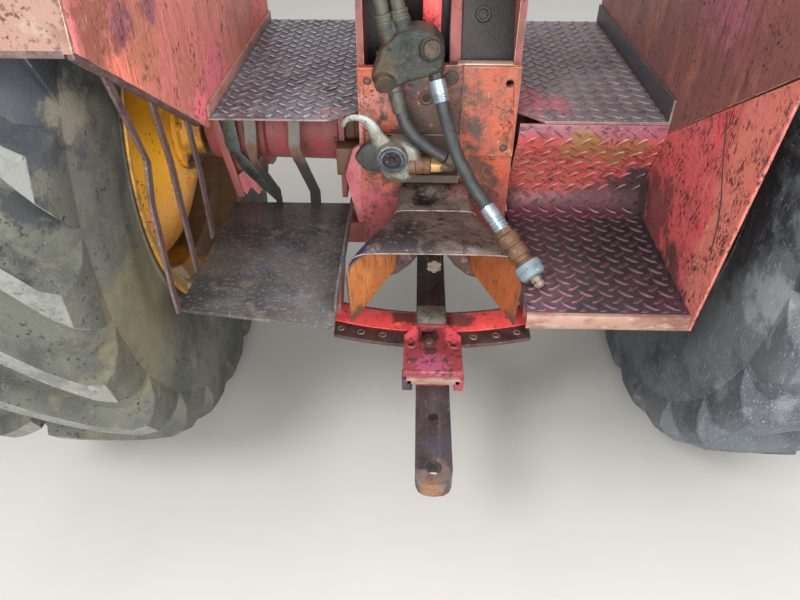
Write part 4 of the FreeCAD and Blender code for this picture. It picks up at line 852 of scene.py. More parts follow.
def cord_curve(name, points, radius, order=3, sides=6):
    """A smooth curve with a round section and closed ends."""
    data = bpy.data.curves.new(name, "CURVE")
    data.dimensions = "3D"
    spline = data.splines.new("NURBS")
    spline.points.add(len(points) - 1)
    for point, place in zip(spline.points, points):
        point.co = (*at(*place), 1.0)
    spline.order_u = order
    spline.use_endpoint_u = True
    spline.resolution_u = 12
    data.bevel_depth = radius * MM
    data.bevel_resolution = sides
    data.use_fill_caps = True
    piece = bpy.data.objects.new(name, data)
    bpy.context.scene.collection.objects.link(piece)
    return piece


def joined(name, *pieces):
    """Several pieces as one mesh; each keeps its own finish."""
    pick(*pieces)
    bpy.ops.object.join()
    piece = bpy.context.object
    piece.name = name
    piece.data.name = name
    return piece


def paint(piece, *materials):
    """The piece's finishes, in the order of its slots."""
    piece.data.materials.clear()
    for material in materials:
        piece.data.materials.append(material)
    return piece


def copy_of(piece, name):
    twin = piece.copy()
    twin.data = piece.data.copy()
    twin.name = name
    bpy.context.scene.collection.objects.link(twin)
    return twin


def round_copies(piece, count, centre, axis):
    """The piece repeated in a whole turn about a line through a centre."""
    centre = at(*centre)
    turn = bpy.data.objects.new("turn", None)
    bpy.context.scene.collection.objects.link(turn)
    spin = Matrix.Rotation(math.tau / count, 4, Vector(axis))
    turn.matrix_world = Matrix.Translation(centre) @ spin @ Matrix.Translation(-centre)
    bpy.context.view_layer.update()
    use_modifier(piece, "ARRAY", count=count, use_relative_offset=False, use_object_offset=True,
                 offset_object=turn)
    bpy.data.objects.remove(turn)
    return piece


def mirrored(piece, name):
    """The same piece on the tractor's other side, its faces turned outwards again."""
    twin = copy_of(piece, name)
    twin.scale = (-1, 1, 1)
    settle(twin)
    edit_all(twin)
    bpy.ops.mesh.normals_make_consistent(inside=False)
    object_mode()
    return twin


def show(piece, body, slot, *nodes):
    """The finished piece rides on its body and stands for the nodes named."""
    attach(piece, body)
    if nodes:
        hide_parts(*nodes)
    return piece


def dress(node, material, edge=None, width=1.2):
    """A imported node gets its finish, and rubbed edges where a second finish is given."""
    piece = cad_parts[node]
    paint(piece, material, *([edge] if edge else []))
    if edge:
        weld = piece.modifiers.new("weld", "WELD")
        weld.merge_threshold = 0.01 * MM
        bevel = piece.modifiers.new("edges", "BEVEL")
        bevel.width = width * MM
        bevel.segments = 2
        bevel.limit_method = "ANGLE"
        bevel.angle_limit = math.radians(40)
        bevel.material = 1
    return piece


def hex_bolt(name, foot, tip, flats=19, head=12, washer=14):
    """A bolt's head on its washer, pointing from foot to tip."""
    ring = turned(name + "_washer", [(0, 0), (0, washer), (2.5, washer), (2.5, 0)], foot, tip, 20)
    half = flats / 2 / math.cos(math.pi / 6)
    outline = [(2, 0), (2, half), (head, half), (head + 1.5, half - 2.5), (head + 1.5, 0)]
    crown = turned(name + "_head", outline, foot, tip, 6)
    return joined(name, crown, ring)


# Hoses: each one smooth rubber hose between crimped sleeves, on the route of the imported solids

LONG_HOSE = [(6, -1231, 107), (28, -1262, 30), (72, -1294, -46), (111, -1340, -85)]
SHORT_HOSE = [(-91, -1200, 112), (-78, -1212, 58), (-42, -1222, 12), (18, -1226, -22)]
HOSE_RADIUS = 14
IN_THE_CRIMP = 57


def lead(route, far, reach):
    """A point beyond a route's start, or its far end, in line with its last run."""
    end, before = (route[-1], route[-2]) if far else (route[0], route[1])
    way = (Vector(end) - Vector(before)).normalized()
    return tuple(Vector(end) + way * reach)


def sleeve(start, end, radius, ribs_from, count):
    """A crimped sleeve's outline: smooth at first, then pressed in a row of grooves."""
    outline = [(start, radius - 3), (start + 1, radius)]
    step = (end - ribs_from) / count
    for number in range(count):
        rib = ribs_from + step * number
        outline += [(rib, radius), (rib + step * 0.2, radius - 1.6), (rib + step * 0.45, radius - 1.6),
                    (rib + step * 0.65, radius)]
    return outline + [(end - 1, radius), (end, radius - 3)]


def hoses():
    sides = 8
    route = LONG_HOSE + [lead(LONG_HOSE, True, IN_THE_CRIMP)]
    long_hose = cord_curve("long_hose", route, HOSE_RADIUS, sides=sides)
    show(paint(long_hose, hose_rubber), "rear_frame", "hose_rubber", "hose_long")
    start = lead(LONG_HOSE, True, 0)
    way = lead(LONG_HOSE, True, 100)
    crimp = turned("long_hose_crimp", sleeve(-4, 60, 17.5, 26, 4), start, way)
    paint(crimp, zinc)
    hexagon = [(57, 0), (57, 19.5), (58, 20.5), (70, 20.5), (71, 19.5), (71, 0)]
    nut = turned("long_hose_nut", hexagon, start, way, 6, 0.8)
    paint(nut, adapter_steel)
    grooved = [(70, 0), (70, 20), (73, 22.5), (92, 22.5), (94, 20), (99, 20), (101, 22.5), (126, 22.5),
               (128, 19), (137, 19), (139, 22), (147, 22), (147, 0)]
    adapter = turned("long_hose_adapter", grooved, start, way, 40)
    paint(adapter, adapter_steel)
    rounded = [(144, 0), (144, 25), (145.5, 28), (149, 29.5), (158, 29.5), (160, 28), (162, 29), (170, 28.5),
               (175, 26), (178, 21), (178, 0)]
    cap = turned("long_hose_cap", rounded, start, way, 64)
    paint(cap, cap_plastic)
    stud = [(177, 0), (177, 13), (188, 13), (189, 11), (192, 11), (193, 13), (198, 12), (203, 8), (204, 6), (204, 0)]
    plug = turned("long_hose_plug", stud, start, way, 8, 0.5)
    paint(plug, plug_steel)
    ends = [crimp, nut, adapter, cap, plug]
    for number, (piece, slot) in enumerate(zip(ends, ["zinc", "rusty_steel", "rusty_steel", "zinc", "brass"])):
        show(piece, "rear_frame", slot, *(["hose_end"] if number == 0 else []))
    short_hose = tube("short_hose", SHORT_HOSE, HOSE_RADIUS, sides=sides)
    show(paint(short_hose, hose_rubber), "rear_frame", "hose_rubber", "hose_short")


hoses()


# Tyres: a smooth carcass, and lugs that lean back from the middle of the tread to each shoulder

TYRE_RADIUS = 820
TREAD_BASE = 776
LUG_COUNT = 22
LUG_SEGMENTS = 7


def carcass():
    """The tyre's ring about the line through the origin: bead, bulging side wall, shoulder, tread."""
    half = [(0, 784), (60, 783), (120, 781), (160, 778), (184, 768), (203, 745), (216, 712), (226, 674)]
    for radius in (650, 626, 602, 578, 554, 530, 506):
        half.append((233.5 - 30 * ((radius - 602) / 142) ** 2, radius))
    half += [(215, 488), (214.5, 484), (216.5, 481), (216, 476), (211, 470), (205, 458), (204, 446), (201.7, 432.3)]
    other = [(-across, radius) for across, radius in reversed(half[1:])]
    outline = other + half + [other[0]]
    return turned("tyre_carcass", outline, (0, 0, 0), (100, 0, 0), 132)


def lug():
    """One bar of the right half: a tapered block, cut into lengths, then twisted to its slant."""
    top = [(-12, 819), (60, 819.5), (130, 818), (186, 812), (210, 798), (222, 772), (226, 735), (218, 692)]
    foot = [(208, 700), (196, 735), (160, 762), (-12, 766)]
    bar_width = 54 / math.cos(math.radians(45))
    piece = slab("tyre_lug", top + foot, bar_width, "back", -bar_width / 2, round_off=0)
    edit_all(piece)
    for number in range(1, 12):
        station = at(-12 + 21 * number, 0, 0)
        bpy.ops.mesh.bisect(plane_co=station, plane_no=(1, 0, 0))
        bpy.ops.mesh.select_all(action="SELECT")
    object_mode()
    # the flanks slope: the foot is wider than the sole
    for corner in piece.data.vertices:
        drop = TYRE_RADIUS * MM - corner.co.z
        corner.co.y *= 0.6 + 15 * drop
    soften(piece, 9, 3, 28)
    twist = math.tan(math.radians(45)) / (TYRE_RADIUS * 0.97 * MM)
    reach = max(corner.co.x for corner in piece.data.vertices) - min(corner.co.x for corner in piece.data.vertices)
    use_modifier(piece, "SIMPLE_DEFORM", deform_method="TWIST", deform_axis="X", angle=twist * reach)
    return piece


def tyres():
    ring = carcass()
    bar = lug()
    other = mirrored(bar, "tyre_lug_other")
    stagger = Matrix.Rotation(math.pi / LUG_COUNT, 4, "X")
    other.matrix_world = stagger
    settle(other)
    for piece in (bar, other):
        round_copies(piece, LUG_COUNT, (0, 0, 0), (1, 0, 0))
    paint(ring, tyre_rubber)
    lugs = joined("tyre_lugs", bar, other)
    paint(lugs, tyre_rubber, lug_rubber)
    for face in lugs.data.polygons:
        middle = face.center
        radius = math.hypot(middle.y, middle.z)
        outward = (middle.y * face.normal.y + middle.z * face.normal.z) / radius
        face.material_index = 1 if outward > 0.78 or (radius > 0.77 and outward > 0.6) else 0
    shade(lugs, 35)
    wheel = joined("tyre_made", lugs, ring)
    for word, side in SIDES:
        piece = copy_of(wheel, "tyre_" + word + "_dusty")
        if side > 0:
            paint(piece, dark_rubber, lug_rubber)
        piece.rotation_euler.x = math.pi / LUG_COUNT
        piece.location = at(side * WHEEL_X, AXLE_Y, AXLE_Z)
        settle(piece)
        show(piece, "wheel_" + word, "tyre_rubber", "tyre_" + word)
    bpy.data.objects.remove(wheel)


tyres()


# Wheels: rim, dished disc with its diamond holes, and the hub with its ring of bolts

RIM_BED = 432
DISC_EDGE = 384
DISC_X = WHEEL_X - 175
HUB_X = DISC_X - 64


def about_wheel(points):
    """An outline given outboard from the tyre's middle, moved to the right wheel."""
    return [(WHEEL_X + across, radius) for across, radius in points]


def on_axle(name, outline, steps=96, round_off=0):
    """A piece turned about the axle's line from (across, radius)."""
    return turned(name, outline, (0, AXLE_Y, AXLE_Z), (100, AXLE_Y, AXLE_Z), steps, round_off)


def rim():
    bed = [(215, 448), (214, 454), (210, 456), (206, 454), (203, 447), (202, RIM_BED), (150, 431), (138, 422),
           (127, 394)]
    under = [(209, 441), (205, 424), (152, 421), (143, 411), (131, DISC_EDGE)]
    outline = bed + [(-across, radius) for across, radius in reversed(bed)]
    outline += [(-across, radius) for across, radius in under] + under[::-1] + bed[:1]
    return paint(on_axle("rim_right_worn", about_wheel(outline), 132), rim_enamel)


def disc():
    front = [(-175, 62), (-175, 146), (-171, 158), (-160, 186), (-128, 262), (-103, 322), (-94, 342), (-84, 354),
             (-45, DISC_EDGE - 1)]
    back = [(-31, DISC_EDGE - 1), (-72, 348), (-81, 338), (-114, 262), (-146, 184), (-157, 154), (-161, 142),
            (-161, 62)]
    piece = on_axle("disc_right_dished", about_wheel(front + back + front[:1]), 132)
    reach = 150
    cutter = turned("diamond", [(0, 0), (0, 26), (120, 26), (120, 0)], (DISC_X - 30, AXLE_Y, AXLE_Z + reach),
                    (DISC_X + 90, AXLE_Y, AXLE_Z + reach), 4)
    settle(cutter)
    cutter.matrix_world = Matrix.Translation(at(0, AXLE_Y, AXLE_Z + reach)) @ Matrix.Diagonal((1, 1.45, 1, 1)) @ \
        Matrix.Translation(at(0, -AXLE_Y, -AXLE_Z - reach))
    settle(cutter)
    turn = Matrix.Translation(at(0, AXLE_Y, AXLE_Z)) @ Matrix.Rotation(math.radians(162), 4, "X")
    cutter.matrix_world = turn @ Matrix.Translation(at(0, -AXLE_Y, -AXLE_Z))
    settle(cutter)
    use_modifier(piece, "BOOLEAN", operation="DIFFERENCE", object=cutter, solver="EXACT")
    bpy.data.objects.remove(cutter)
    shade(piece, 28)
    return paint(piece, wheel_enamel)


def hub():
    outline = [(DISC_X - 1, 49), (DISC_X - 1, 116), (DISC_X - 4, 118), (DISC_X - 11, 118), (DISC_X - 14, 115),
               (DISC_X - 16, 92), (DISC_X - 24, 88), (HUB_X + 8, 84), (HUB_X + 2, 82), (HUB_X, 78), (HUB_X, 49),
               (DISC_X - 1, 49)]
    casting = on_axle("hub_right_casting", outline, 72)
    paint(casting, hub_enamel)
    bolt = hex_bolt("hub_bolt", (DISC_X - 14, AXLE_Y, AXLE_Z + 104), (DISC_X - 60, AXLE_Y, AXLE_Z + 104), 15, 8, 10)
    round_copies(bolt, 10, (0, AXLE_Y, AXLE_Z), (1, 0, 0))
    paint(bolt, hub_enamel)
    return joined("hub_right_bolted", casting, bolt)


for make, slot, node in ((rim, "rim_steel", "rim_"), (disc, "yellow_enamel", "wheel_disc_"),
                         (hub, "greasy_iron", "wheel_hub_")):
    right = make()
    show(mirrored(right, right.name.replace("right", "left")), "wheel_left", slot, node + "left")
    show(right, "wheel_right", slot, node + "right")


# Axle: cast tubes with their flanges, ribs and bolts, and the middle casting

def axle():
    outline = [(222, 0), (222, 98), (224, 101), (238, 101), (240, 98), (244, 92), (262, 87),
               (352, 85), (355, 99), (365, 99), (368, 85), (424, 84), (427, 103), (439, 103), (442, 84), (478, 82), (486, 86),
               (490, 97), (505, 98), (510, 90), (560, 88), (575, 84), (575, 52), (576, 48), (642, 48), (642, 0)]
    for word, side in SIDES:
        points = [(side * across, radius) for across, radius in outline]
        tube_casting = on_axle("axle_tube_" + word + "_cast", points, 64)
        bolt = hex_bolt("axle_bolt", (side * 240, AXLE_Y, AXLE_Z + 91), (side * 270, AXLE_Y, AXLE_Z + 91), 15, 10, 9)
        round_copies(bolt, 12, (0, AXLE_Y, AXLE_Z), (1, 0, 0))
        paint(tube_casting, low_enamel)
        paint(bolt, bolt_steel)
        whole = joined("axle_tube_" + word + "_flanged", tube_casting, bolt)
        show(whole, "rear_frame", "red_enamel", "axle_tube_" + word)
    half = [(222, 0), (222, 103), (220, 105), (200, 105), (197, 102), (170, 101), (152, 105), (140, 116), (118, 138),
            (96, 147), (40, 148), (0, 148)]
    points = half + [(-across, radius) for across, radius in reversed(half[:-1])]
    housing = on_axle("axle_housing_cast", points, 64)
    show(paint(housing, oiled_casting), "rear_frame", "red_enamel", "axle_center_housing")


axle()


# Tread plate: raised lozenges in two slants, laid on the decks, the riser and the right step

TREAD_PITCH = 42


def lozenge(name, length, width, turn):
    """One raised lozenge with sloping flanks, turned to its slant."""
    outline = [(-length / 2, 0), (-length / 4, -width / 2), (length / 4, -width / 2), (length / 2, 0),
               (length / 4, width / 2), (-length / 4, width / 2)]
    piece = slab(name, outline, 3.2, "top", -0.4, round_off=0)
    edit_all(piece)
    bpy.ops.mesh.select_all(action="DESELECT")
    object_mode()
    for face in piece.data.polygons:
        face.select = face.normal.z > 0.9
    bpy.ops.object.mode_set(mode="EDIT")
    bpy.ops.transform.resize(value=(0.8, 0.42, 1), center_override=(0, 0, 0))
    object_mode()
    piece.rotation_euler.z = math.radians(turn)
    settle(piece)
    return piece


def lozenge_field(name, low, high, cuts=(), length=36, width=11):
    """Rows of lozenges over a flat field, trimmed to its edges and to any slanted cuts."""
    rows = []
    for turn, shift in ((40, 0), (-40, 0.5)):
        piece = lozenge(f"{name}_{turn}", length, width, turn)
        start = [math.floor(value / TREAD_PITCH) * TREAD_PITCH + shift * TREAD_PITCH for value in low]
        piece.location = at(*start, 0)
        settle(piece)
        for axis in (0, 1):
            step = [0, 0, 0]
            step[axis] = TREAD_PITCH * MM
            count = int((high[axis] - low[axis]) / TREAD_PITCH) + 2
            use_modifier(piece, "ARRAY", count=count, use_relative_offset=False, use_constant_offset=True,
                         constant_offset_displace=step)
        rows.append(piece)
    field = joined(name, *rows)
    borders = [(low, (-1, 0)), (low, (0, -1)), (high, (1, 0)), (high, (0, 1)), *cuts]
    for point, outward in borders:
        edit_all(field)
        bpy.ops.mesh.bisect(plane_co=at(*point, 0), plane_no=(*outward, 0), use_fill=True, clear_outer=True)
        object_mode()
    return field


def bend_sheet(piece, curve):
    """A flat piece (across, along, up) bent so that its along follows a curve drawn in the side view."""
    piece.matrix_world = Matrix(((0, 1, 0, 0), (0, 0, 1, 0), (1, 0, 0, 0), (0, 0, 0, 1)))
    settle(piece)
    use_modifier(piece, "CURVE", object=curve, deform_axis="POS_X")
    piece.matrix_world = Matrix(((0, 0, 1, 0), (1, 0, 0, 0), (0, 1, 0, 0), (0, 0, 0, 1)))
    settle(piece)
    return piece


def two_tone(field, top, flank):
    """The lozenges' flat tops and their sloping flanks get a finish each, while the field lies flat."""
    paint(field, top, flank)
    for face in field.data.polygons:
        face.material_index = 0 if face.normal.z > 0.97 else 1
    return field


DECK_TOP = 47
DECK_REAR = -1185
DECK_FRONT = -425


def treads():
    edge = 4
    for word, side in SIDES:
        across = sorted((side * (179 + edge), side * (509 - edge)))
        corner = (side * (179 + edge), -1125)
        field = lozenge_field("deck_" + word + "_lozenges", (across[0], DECK_REAR + edge),
                              (across[1], DECK_FRONT - edge), [(corner, (-side, -1))])
        top = polished_ribs if side < 0 else brown_ribs
        two_tone(field, top, deck_steel if side < 0 else deck_right_steel)
        field.location = at(0, 0, DECK_TOP)
        settle(field)
        show(field, "rear_frame", "tread_plate")


STEP_SIDE = [(-1551, -241), (-1551, -207), (-1538, -207), (-1350, -207), (-1190, -207), (-1128, -207),
             (-1106, -168), (-1124, -112), (-1152, -56), (-1187, -2), (-1186, 40)]
STEP_FROM = 184
STEP_TO = 513


def right_step():
    """The right step and its riser: one tread plate, folded at the lip and rolled up to the deck."""
    data = bpy.data.curves.new("step_side", "CURVE")
    data.dimensions = "2D"
    spline = data.splines.new("NURBS")
    spline.points.add(len(STEP_SIDE) - 1)
    for point, (along, up) in zip(spline.points, STEP_SIDE):
        point.co = (along * MM, up * MM, 0, 1)
    spline.order_u = 3
    spline.use_endpoint_u = True
    spline.resolution_u = 24
    curve = bpy.data.objects.new("step_side", data)
    bpy.context.scene.collection.objects.link(curve)
    line = bpy.data.meshes.new_from_object(curve)
    spots = [corner.co.copy() for corner in line.vertices]
    length = sum((b - a).length for a, b in zip(spots, spots[1:])) / MM
    bpy.data.meshes.remove(line)
    count = 90
    sheet = pulled_line("step_right_sheet", [at(STEP_FROM, length * number / count, 0) for number in range(count + 1)])
    bpy.ops.mesh.extrude_region_move(TRANSFORM_OT_translate={"value": at(STEP_TO - STEP_FROM, 0, 0)})
    bpy.ops.mesh.select_all(action="SELECT")
    bpy.ops.mesh.normals_make_consistent(inside=False)
    object_mode()
    if sheet.data.polygons[0].normal.z < 0:
        edit_all(sheet)
        bpy.ops.mesh.flip_normals()
        object_mode()
    use_modifier(sheet, "SOLIDIFY", thickness=6 * MM, offset=-1)
    paint(sheet, step_steel, riser_enamel, lip_enamel)
    for face in sheet.data.polygons:
        along = face.center.y / MM
        face.material_index = 2 if along < 38 else (1 if along > 405 else 0)
    bend_sheet(sheet, curve)
    soften(sheet, 1.5, 2, 50)
    shade(sheet)
    low = lozenge_field("step_lozenges", (STEP_FROM + 3, 44), (STEP_TO - 3, 404), length=39, width=14)
    two_tone(low, rib_steel, rib_edge)
    high = lozenge_field("riser_lozenges", (STEP_FROM + 3, 405), (STEP_TO - 3, length - 4), length=35, width=9.5)
    two_tone(high, riser_tops, riser_ribs)
    for field in (low, high):
        bend_sheet(field, curve)
    bpy.data.objects.remove(curve)
    show(sheet, "rear_frame", "tread_plate", "step_right")
    for field in (low, high):
        show(field, "rear_frame", "tread_plate")


def left_step():
    """The left step: a flat sheet with a turned-up inner edge, its rear edge slanting back."""
    outline = [(-508, -1116), (-527, -1549), (-300, -1583), (-232, -1594), (-214, -1596), (-203, -1586), (-202, -1116)]
    plate = slab("step_left_plate", outline, 8, "top", -215, 1.4)
    rim = slab("step_left_upstand", [(-1550, -212), (-1116, -212), (-1116, -181), (-1520, -181), (-1548, -196)], 6, "side",
               -208, 1.2)
    paint(plate, step_sheet)
    paint(rim, step_sheet)
    show(joined("step_left_folded", plate, rim), "rear_frame", "worn_plate", "step_left")


treads()
right_step()
left_step()


# Sheets: decks, fenders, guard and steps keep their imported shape, with rubbed edges

def guard_bars():
    """Three bent guard bars and two straps round the left step, with the struts behind them."""
    bars = [
        [(-1602, 300), (-1529, 115), (-1556, 40), (-1568, -150), (-1566, -207), (-1548, -207), (-1550, -150),
         (-1537, 32), (-1510, 104), (-1582, 300)],
        [(-1452, 205), (-1431, 66), (-1427, -207), (-1407, -207), (-1409, 54), (-1431, 205)],
        [(-1300, 110), (-1286, -30), (-1290, -207), (-1271, -207), (-1264, -42), (-1279, 110)],
    ]
    pieces = [slab("guard_bar", outline, 6, "side", -526, 0) for outline in bars]
    straps = [
        [(-456, 43), (-453, 2), (-457, -54), (-451, -88), (-402, -176), (-398, -212), (-384, -212), (-385, -170),
         (-432, -83), (-429, -54), (-424, 2), (-426, 43)],
        [(-350, 43), (-348, 3), (-353, -53), (-349, -70), (-311, -172), (-312, -212), (-286, -212), (-285, -171),
         (-322, -66), (-325, -52), (-320, 3), (-321, 43)],
    ]
    for outline in straps:
        pieces.append(slab("deck_strap", outline, 6, "back", 1118, 0))
    for number, piece in enumerate(pieces):
        use_modifier(piece, "BEVEL", width=1 * MM, segments=2, limit_method="ANGLE", angle_limit=0.7, material=1)
        paint(piece, bar_steel if number < len(bars) else strap_steel, bar_edge)
    show(joined("step_stays_made", *pieces), "rear_frame", "worn_plate", "step_stays_left")
    strut = slab("fender_strut_dark", [(-514, 42), (-480, 42), (-474, -78), (-392, -176), (-388, -211), (-404, -211),
                                       (-476, -128), (-510, -60)], 8, "back", 1096, 1.5)
    show(paint(strut, strut_steel), "rear_frame", "greasy_iron")
    red_strut = slab("fender_strut_red", [(-544, 22), (-522, 22), (-488, -206), (-506, -206)], 10, "back", 1084, 1.5)
    show(paint(red_strut, low_enamel), "rear_frame", "red_enamel")
    clamp = slab("strut_clamp", [(-498, -150), (-480, -134), (-460, -134), (-450, -150), (-454, -170), (-440, -190),
                                 (-452, -204), (-470, -184), (-484, -206), (-498, -186)], 14, "back", 1070, 2)
    show(paint(clamp, pink_enamel), "rear_frame", "red_enamel")
    seat = block("hanger_seat", (-240, -1118, -128), (-186, -1062, -56), 3)
    show(paint(seat, oiled_casting), "rear_frame", "greasy_iron")


def sheets():
    plan = [(-179, -1125), (-239, -1185), (-514, -1185), (-514, -425), (-179, -425)]
    plate = slab("deck_left_plate", plan, 6, "top", 41, 1.2)
    paint(plate, deck_steel)
    edging = tube("deck_left_edge", [(-180, -1127, 44), (-239.4, -1186.4, 44), (-512, -1186.4, 44)], 2.6, order=2)
    paint(edging, bar_edge)
    show(joined("deck_left_sheet", plate, edging), "rear_frame", "tread_plate", "deck_left")
    dress("deck_right", deck_right_steel, worn_edge, 1.5)
    dress("fender_wall_left", fender_enamel, worn_edge, 1.4)
    dress("fender_cover_left", cover_enamel, worn_edge, 1.4)
    crease = tube("fender_crease", [(-520.8, -1439, 357), (-520.8, -1441, 323), (-520.8, -1442, 281),
                                    (-520.8, -1438, 238), (-520.8, -1435, 205)], 2)
    show(paint(crease, crease_enamel), "rear_frame", "red_enamel")
    scratch = tube("fender_scratch", [(-520.6, -1197, 287), (-520.6, -1174, 252), (-520.6, -1124, 215), (-520.6, -1079, 198), (-520.6, -1022, 192)], 1)
    show(paint(scratch, cheek_steel), "rear_frame", "red_enamel")
    for node in ("fender_wall_right", "fender_cover_right"):
        dress(node, shaded_enamel, worn_edge, 1.4)
    outline = [(-1185, 22), (-1112, -147), (-1112, -241), (-1552, -241), (-1620, 308)]
    guard = slab("side_guard_sheet", outline, 6, "side", 514, 0)
    use_modifier(guard, "BEVEL", width=1.6 * MM, segments=2, limit_method="ANGLE", angle_limit=0.7, material=1)
    paint(guard, guard_enamel, pale_edge)
    seam = tube("side_guard_seam", [(513.6, -1420, 168), (513.6, -1462, 92), (513.6, -1524, 9), (513.6, -1530, -60)], 1.3)
    paint(seam, hollow_black)
    show(joined("side_guard_made", guard, seam), "rear_frame", "red_enamel", "side_guard_right")
    guard_bars()
    # the kick strips are browner than the decks they stand on
    for word, side in SIDES:
        across = sorted((side * 507.6, side * 513.8))
        top = 74 if side < 0 else 97.8
        strip = block("kick_strip_" + word + "_cap", (across[0], DECK_REAR + 1, 46), (across[1], DECK_FRONT, top), 1.8)
        show(paint(strip, strip_enamel if side < 0 else dark_strip), "rear_frame", "red_enamel")
    # a folded rail under the left fender wall, where the guard bars hang; its dark band also stands for the shade under
    # the fender's edge, as painted shade
    rail = slab("fender_rail_left", [(-1674, 348), (-1674, 338), (-1240, 50), (-1240, 60)], 12, "side", -526, 1.5)
    show(paint(rail, bar_steel), "rear_frame", "red_enamel")
    fold = block("fender_fold_left", (-1070, -1676, 340), (-527, -1664, 351), 1.5)
    show(paint(fold, bar_steel), "rear_frame", "red_enamel")


sheets()


# Frame: side plates, rear plate with its overlay, brackets and cross plates

def frame_plates():
    for node in ("frame_side_left", "frame_side_right"):
        dress(node, low_enamel, pale_edge, 1.4)
    dress("frame_rear_plate", frame_enamel, worn_edge, 1.2)
    dress("frame_overlay_plate", frame_enamel, worn_edge, 1.2)
    dress("frame_cross_plates", cover_sheet)
    dress("hinge_lugs", low_enamel, worn_edge, 2)
    dress("axle_brackets", low_enamel, worn_edge, 1.4)
    dress("drawbar_pivot_bracket", low_enamel, worn_edge, 1.4)
    dress("coupler_bracket", greasy_iron, worn_edge, 1)
    dress("pto_housing", greasy_iron)
    dress("pto_carrier", greasy_iron, worn_edge, 2.5)
    dress("pto_shaft", shaft_steel)
    cover = slab("tower_cover_sheet", [(-1128, 128), (-1116, 128), (-1020, 320), (-1030, 320)], 141, "side", 22, 1.2)
    paint(cover, cover_sheet)
    lug = turned("tower_cover_boss", [(-12, 0), (-12, 17), (10, 17), (11.5, 15.5), (11.5, 11), (8, 9.5), (8, 0)],
                 (94, -1066, 238), (94, -1116, 256), 40)
    paint(lug, cover_sheet)
    angle = slab("tower_cover_angle", [(-1136, 128), (-1126, 128), (-1030, 320), (-1040, 320)], 24, "side", 24, 1.2)
    paint(angle, low_enamel)
    show(joined("tower_cover_made", cover, lug, angle), "rear_frame", "worn_plate", "tower_cover")
    gusset = slab("frame_gusset", [(-176, -30), (-196, -44), (-216, -110), (-200, -200), (-184, -266), (-176, -266)], 12,
                  "back", 1136, 1.5)
    show(paint(gusset, pink_enamel), "rear_frame", "red_enamel")
    post = block("tower_post_bright", (-36.6, -1108.8, 128), (2.6, -1091.4, 410.4), 1.6)
    show(paint(post, bright_enamel), "rear_frame", "red_enamel")
    ring = turned("plate_hole_ring", [(0, 9), (0, 18), (1.5, 16), (2.5, 13), (1.2, 9), (0, 9)], (-26, -1149.6, 83),
                  (-26, -1160, 83), 32)
    show(paint(ring, frame_enamel), "rear_frame", "red_enamel")
    hole = turned("plate_hole_floor", [(0, 0), (0, 9.5), (0.4, 9.5), (0.4, 0)], (-26, -1149.8, 83), (-26, -1160, 83), 24)
    show(paint(hole, hollow_black), "rear_frame", "greasy_iron")
    boss = turned("plate_boss", [(0, 0), (0, 16), (3, 15.5), (5, 12), (5, 8), (3.5, 7), (3.5, 0)], (29, -1149.6, 129),
                  (29, -1170, 129), 32)
    show(paint(boss, greasy_iron), "rear_frame", "greasy_iron")
    for number, (across, up) in enumerate(((-156, 120), (-156, -32), (156, -32))):
        face = -1150 if across < 0 else -1158
        stub = turned(f"plate_bolt_end_{number}", [(0, 0), (0, 8.6), (6, 8.6), (7.5, 7), (7.5, 0)],
                      (across, face + 12, up), (across, face - 10, up), 20)
        show(paint(stub, bolt_steel), "rear_frame", "greasy_iron")
    lip = block("plate_top_lip", (40, -1151.5, 156.5), (160, -1129, 160.5), 1.2)
    show(paint(lip, pale_edge), "rear_frame", "red_enamel")
    weld = tube("plate_fold_weld", [(60, -1152, 152), (57, -1153, 96), (55, -1153, 20), (54.5, -1152, -50)], 2.6)
    show(paint(weld, worn_edge), "rear_frame", "red_enamel")


frame_plates()


# Power take-off shield: a pressed hood, brown outside and rusty inside

def shield_line(back, half, top, shoulder, low, narrow):
    """One open arch of the hood as points: left foot, round shoulders, right foot."""
    steps = 7
    flats = 7
    left = [(-narrow, -back, low)]
    for number in range(steps + 1):
        turn = math.pi / 2 * number / steps
        left.append((-(half - shoulder + shoulder * math.cos(turn)), -back,
                     top - shoulder + shoulder * math.sin(turn)))
    for number in range(1, flats + 1):
        left.append((-(half - shoulder) * (1 - number / (flats + 0.5)), -back, top))
    return [at(*spot) for spot in left + [(-spot[0], spot[1], spot[2]) for spot in reversed(left)]]


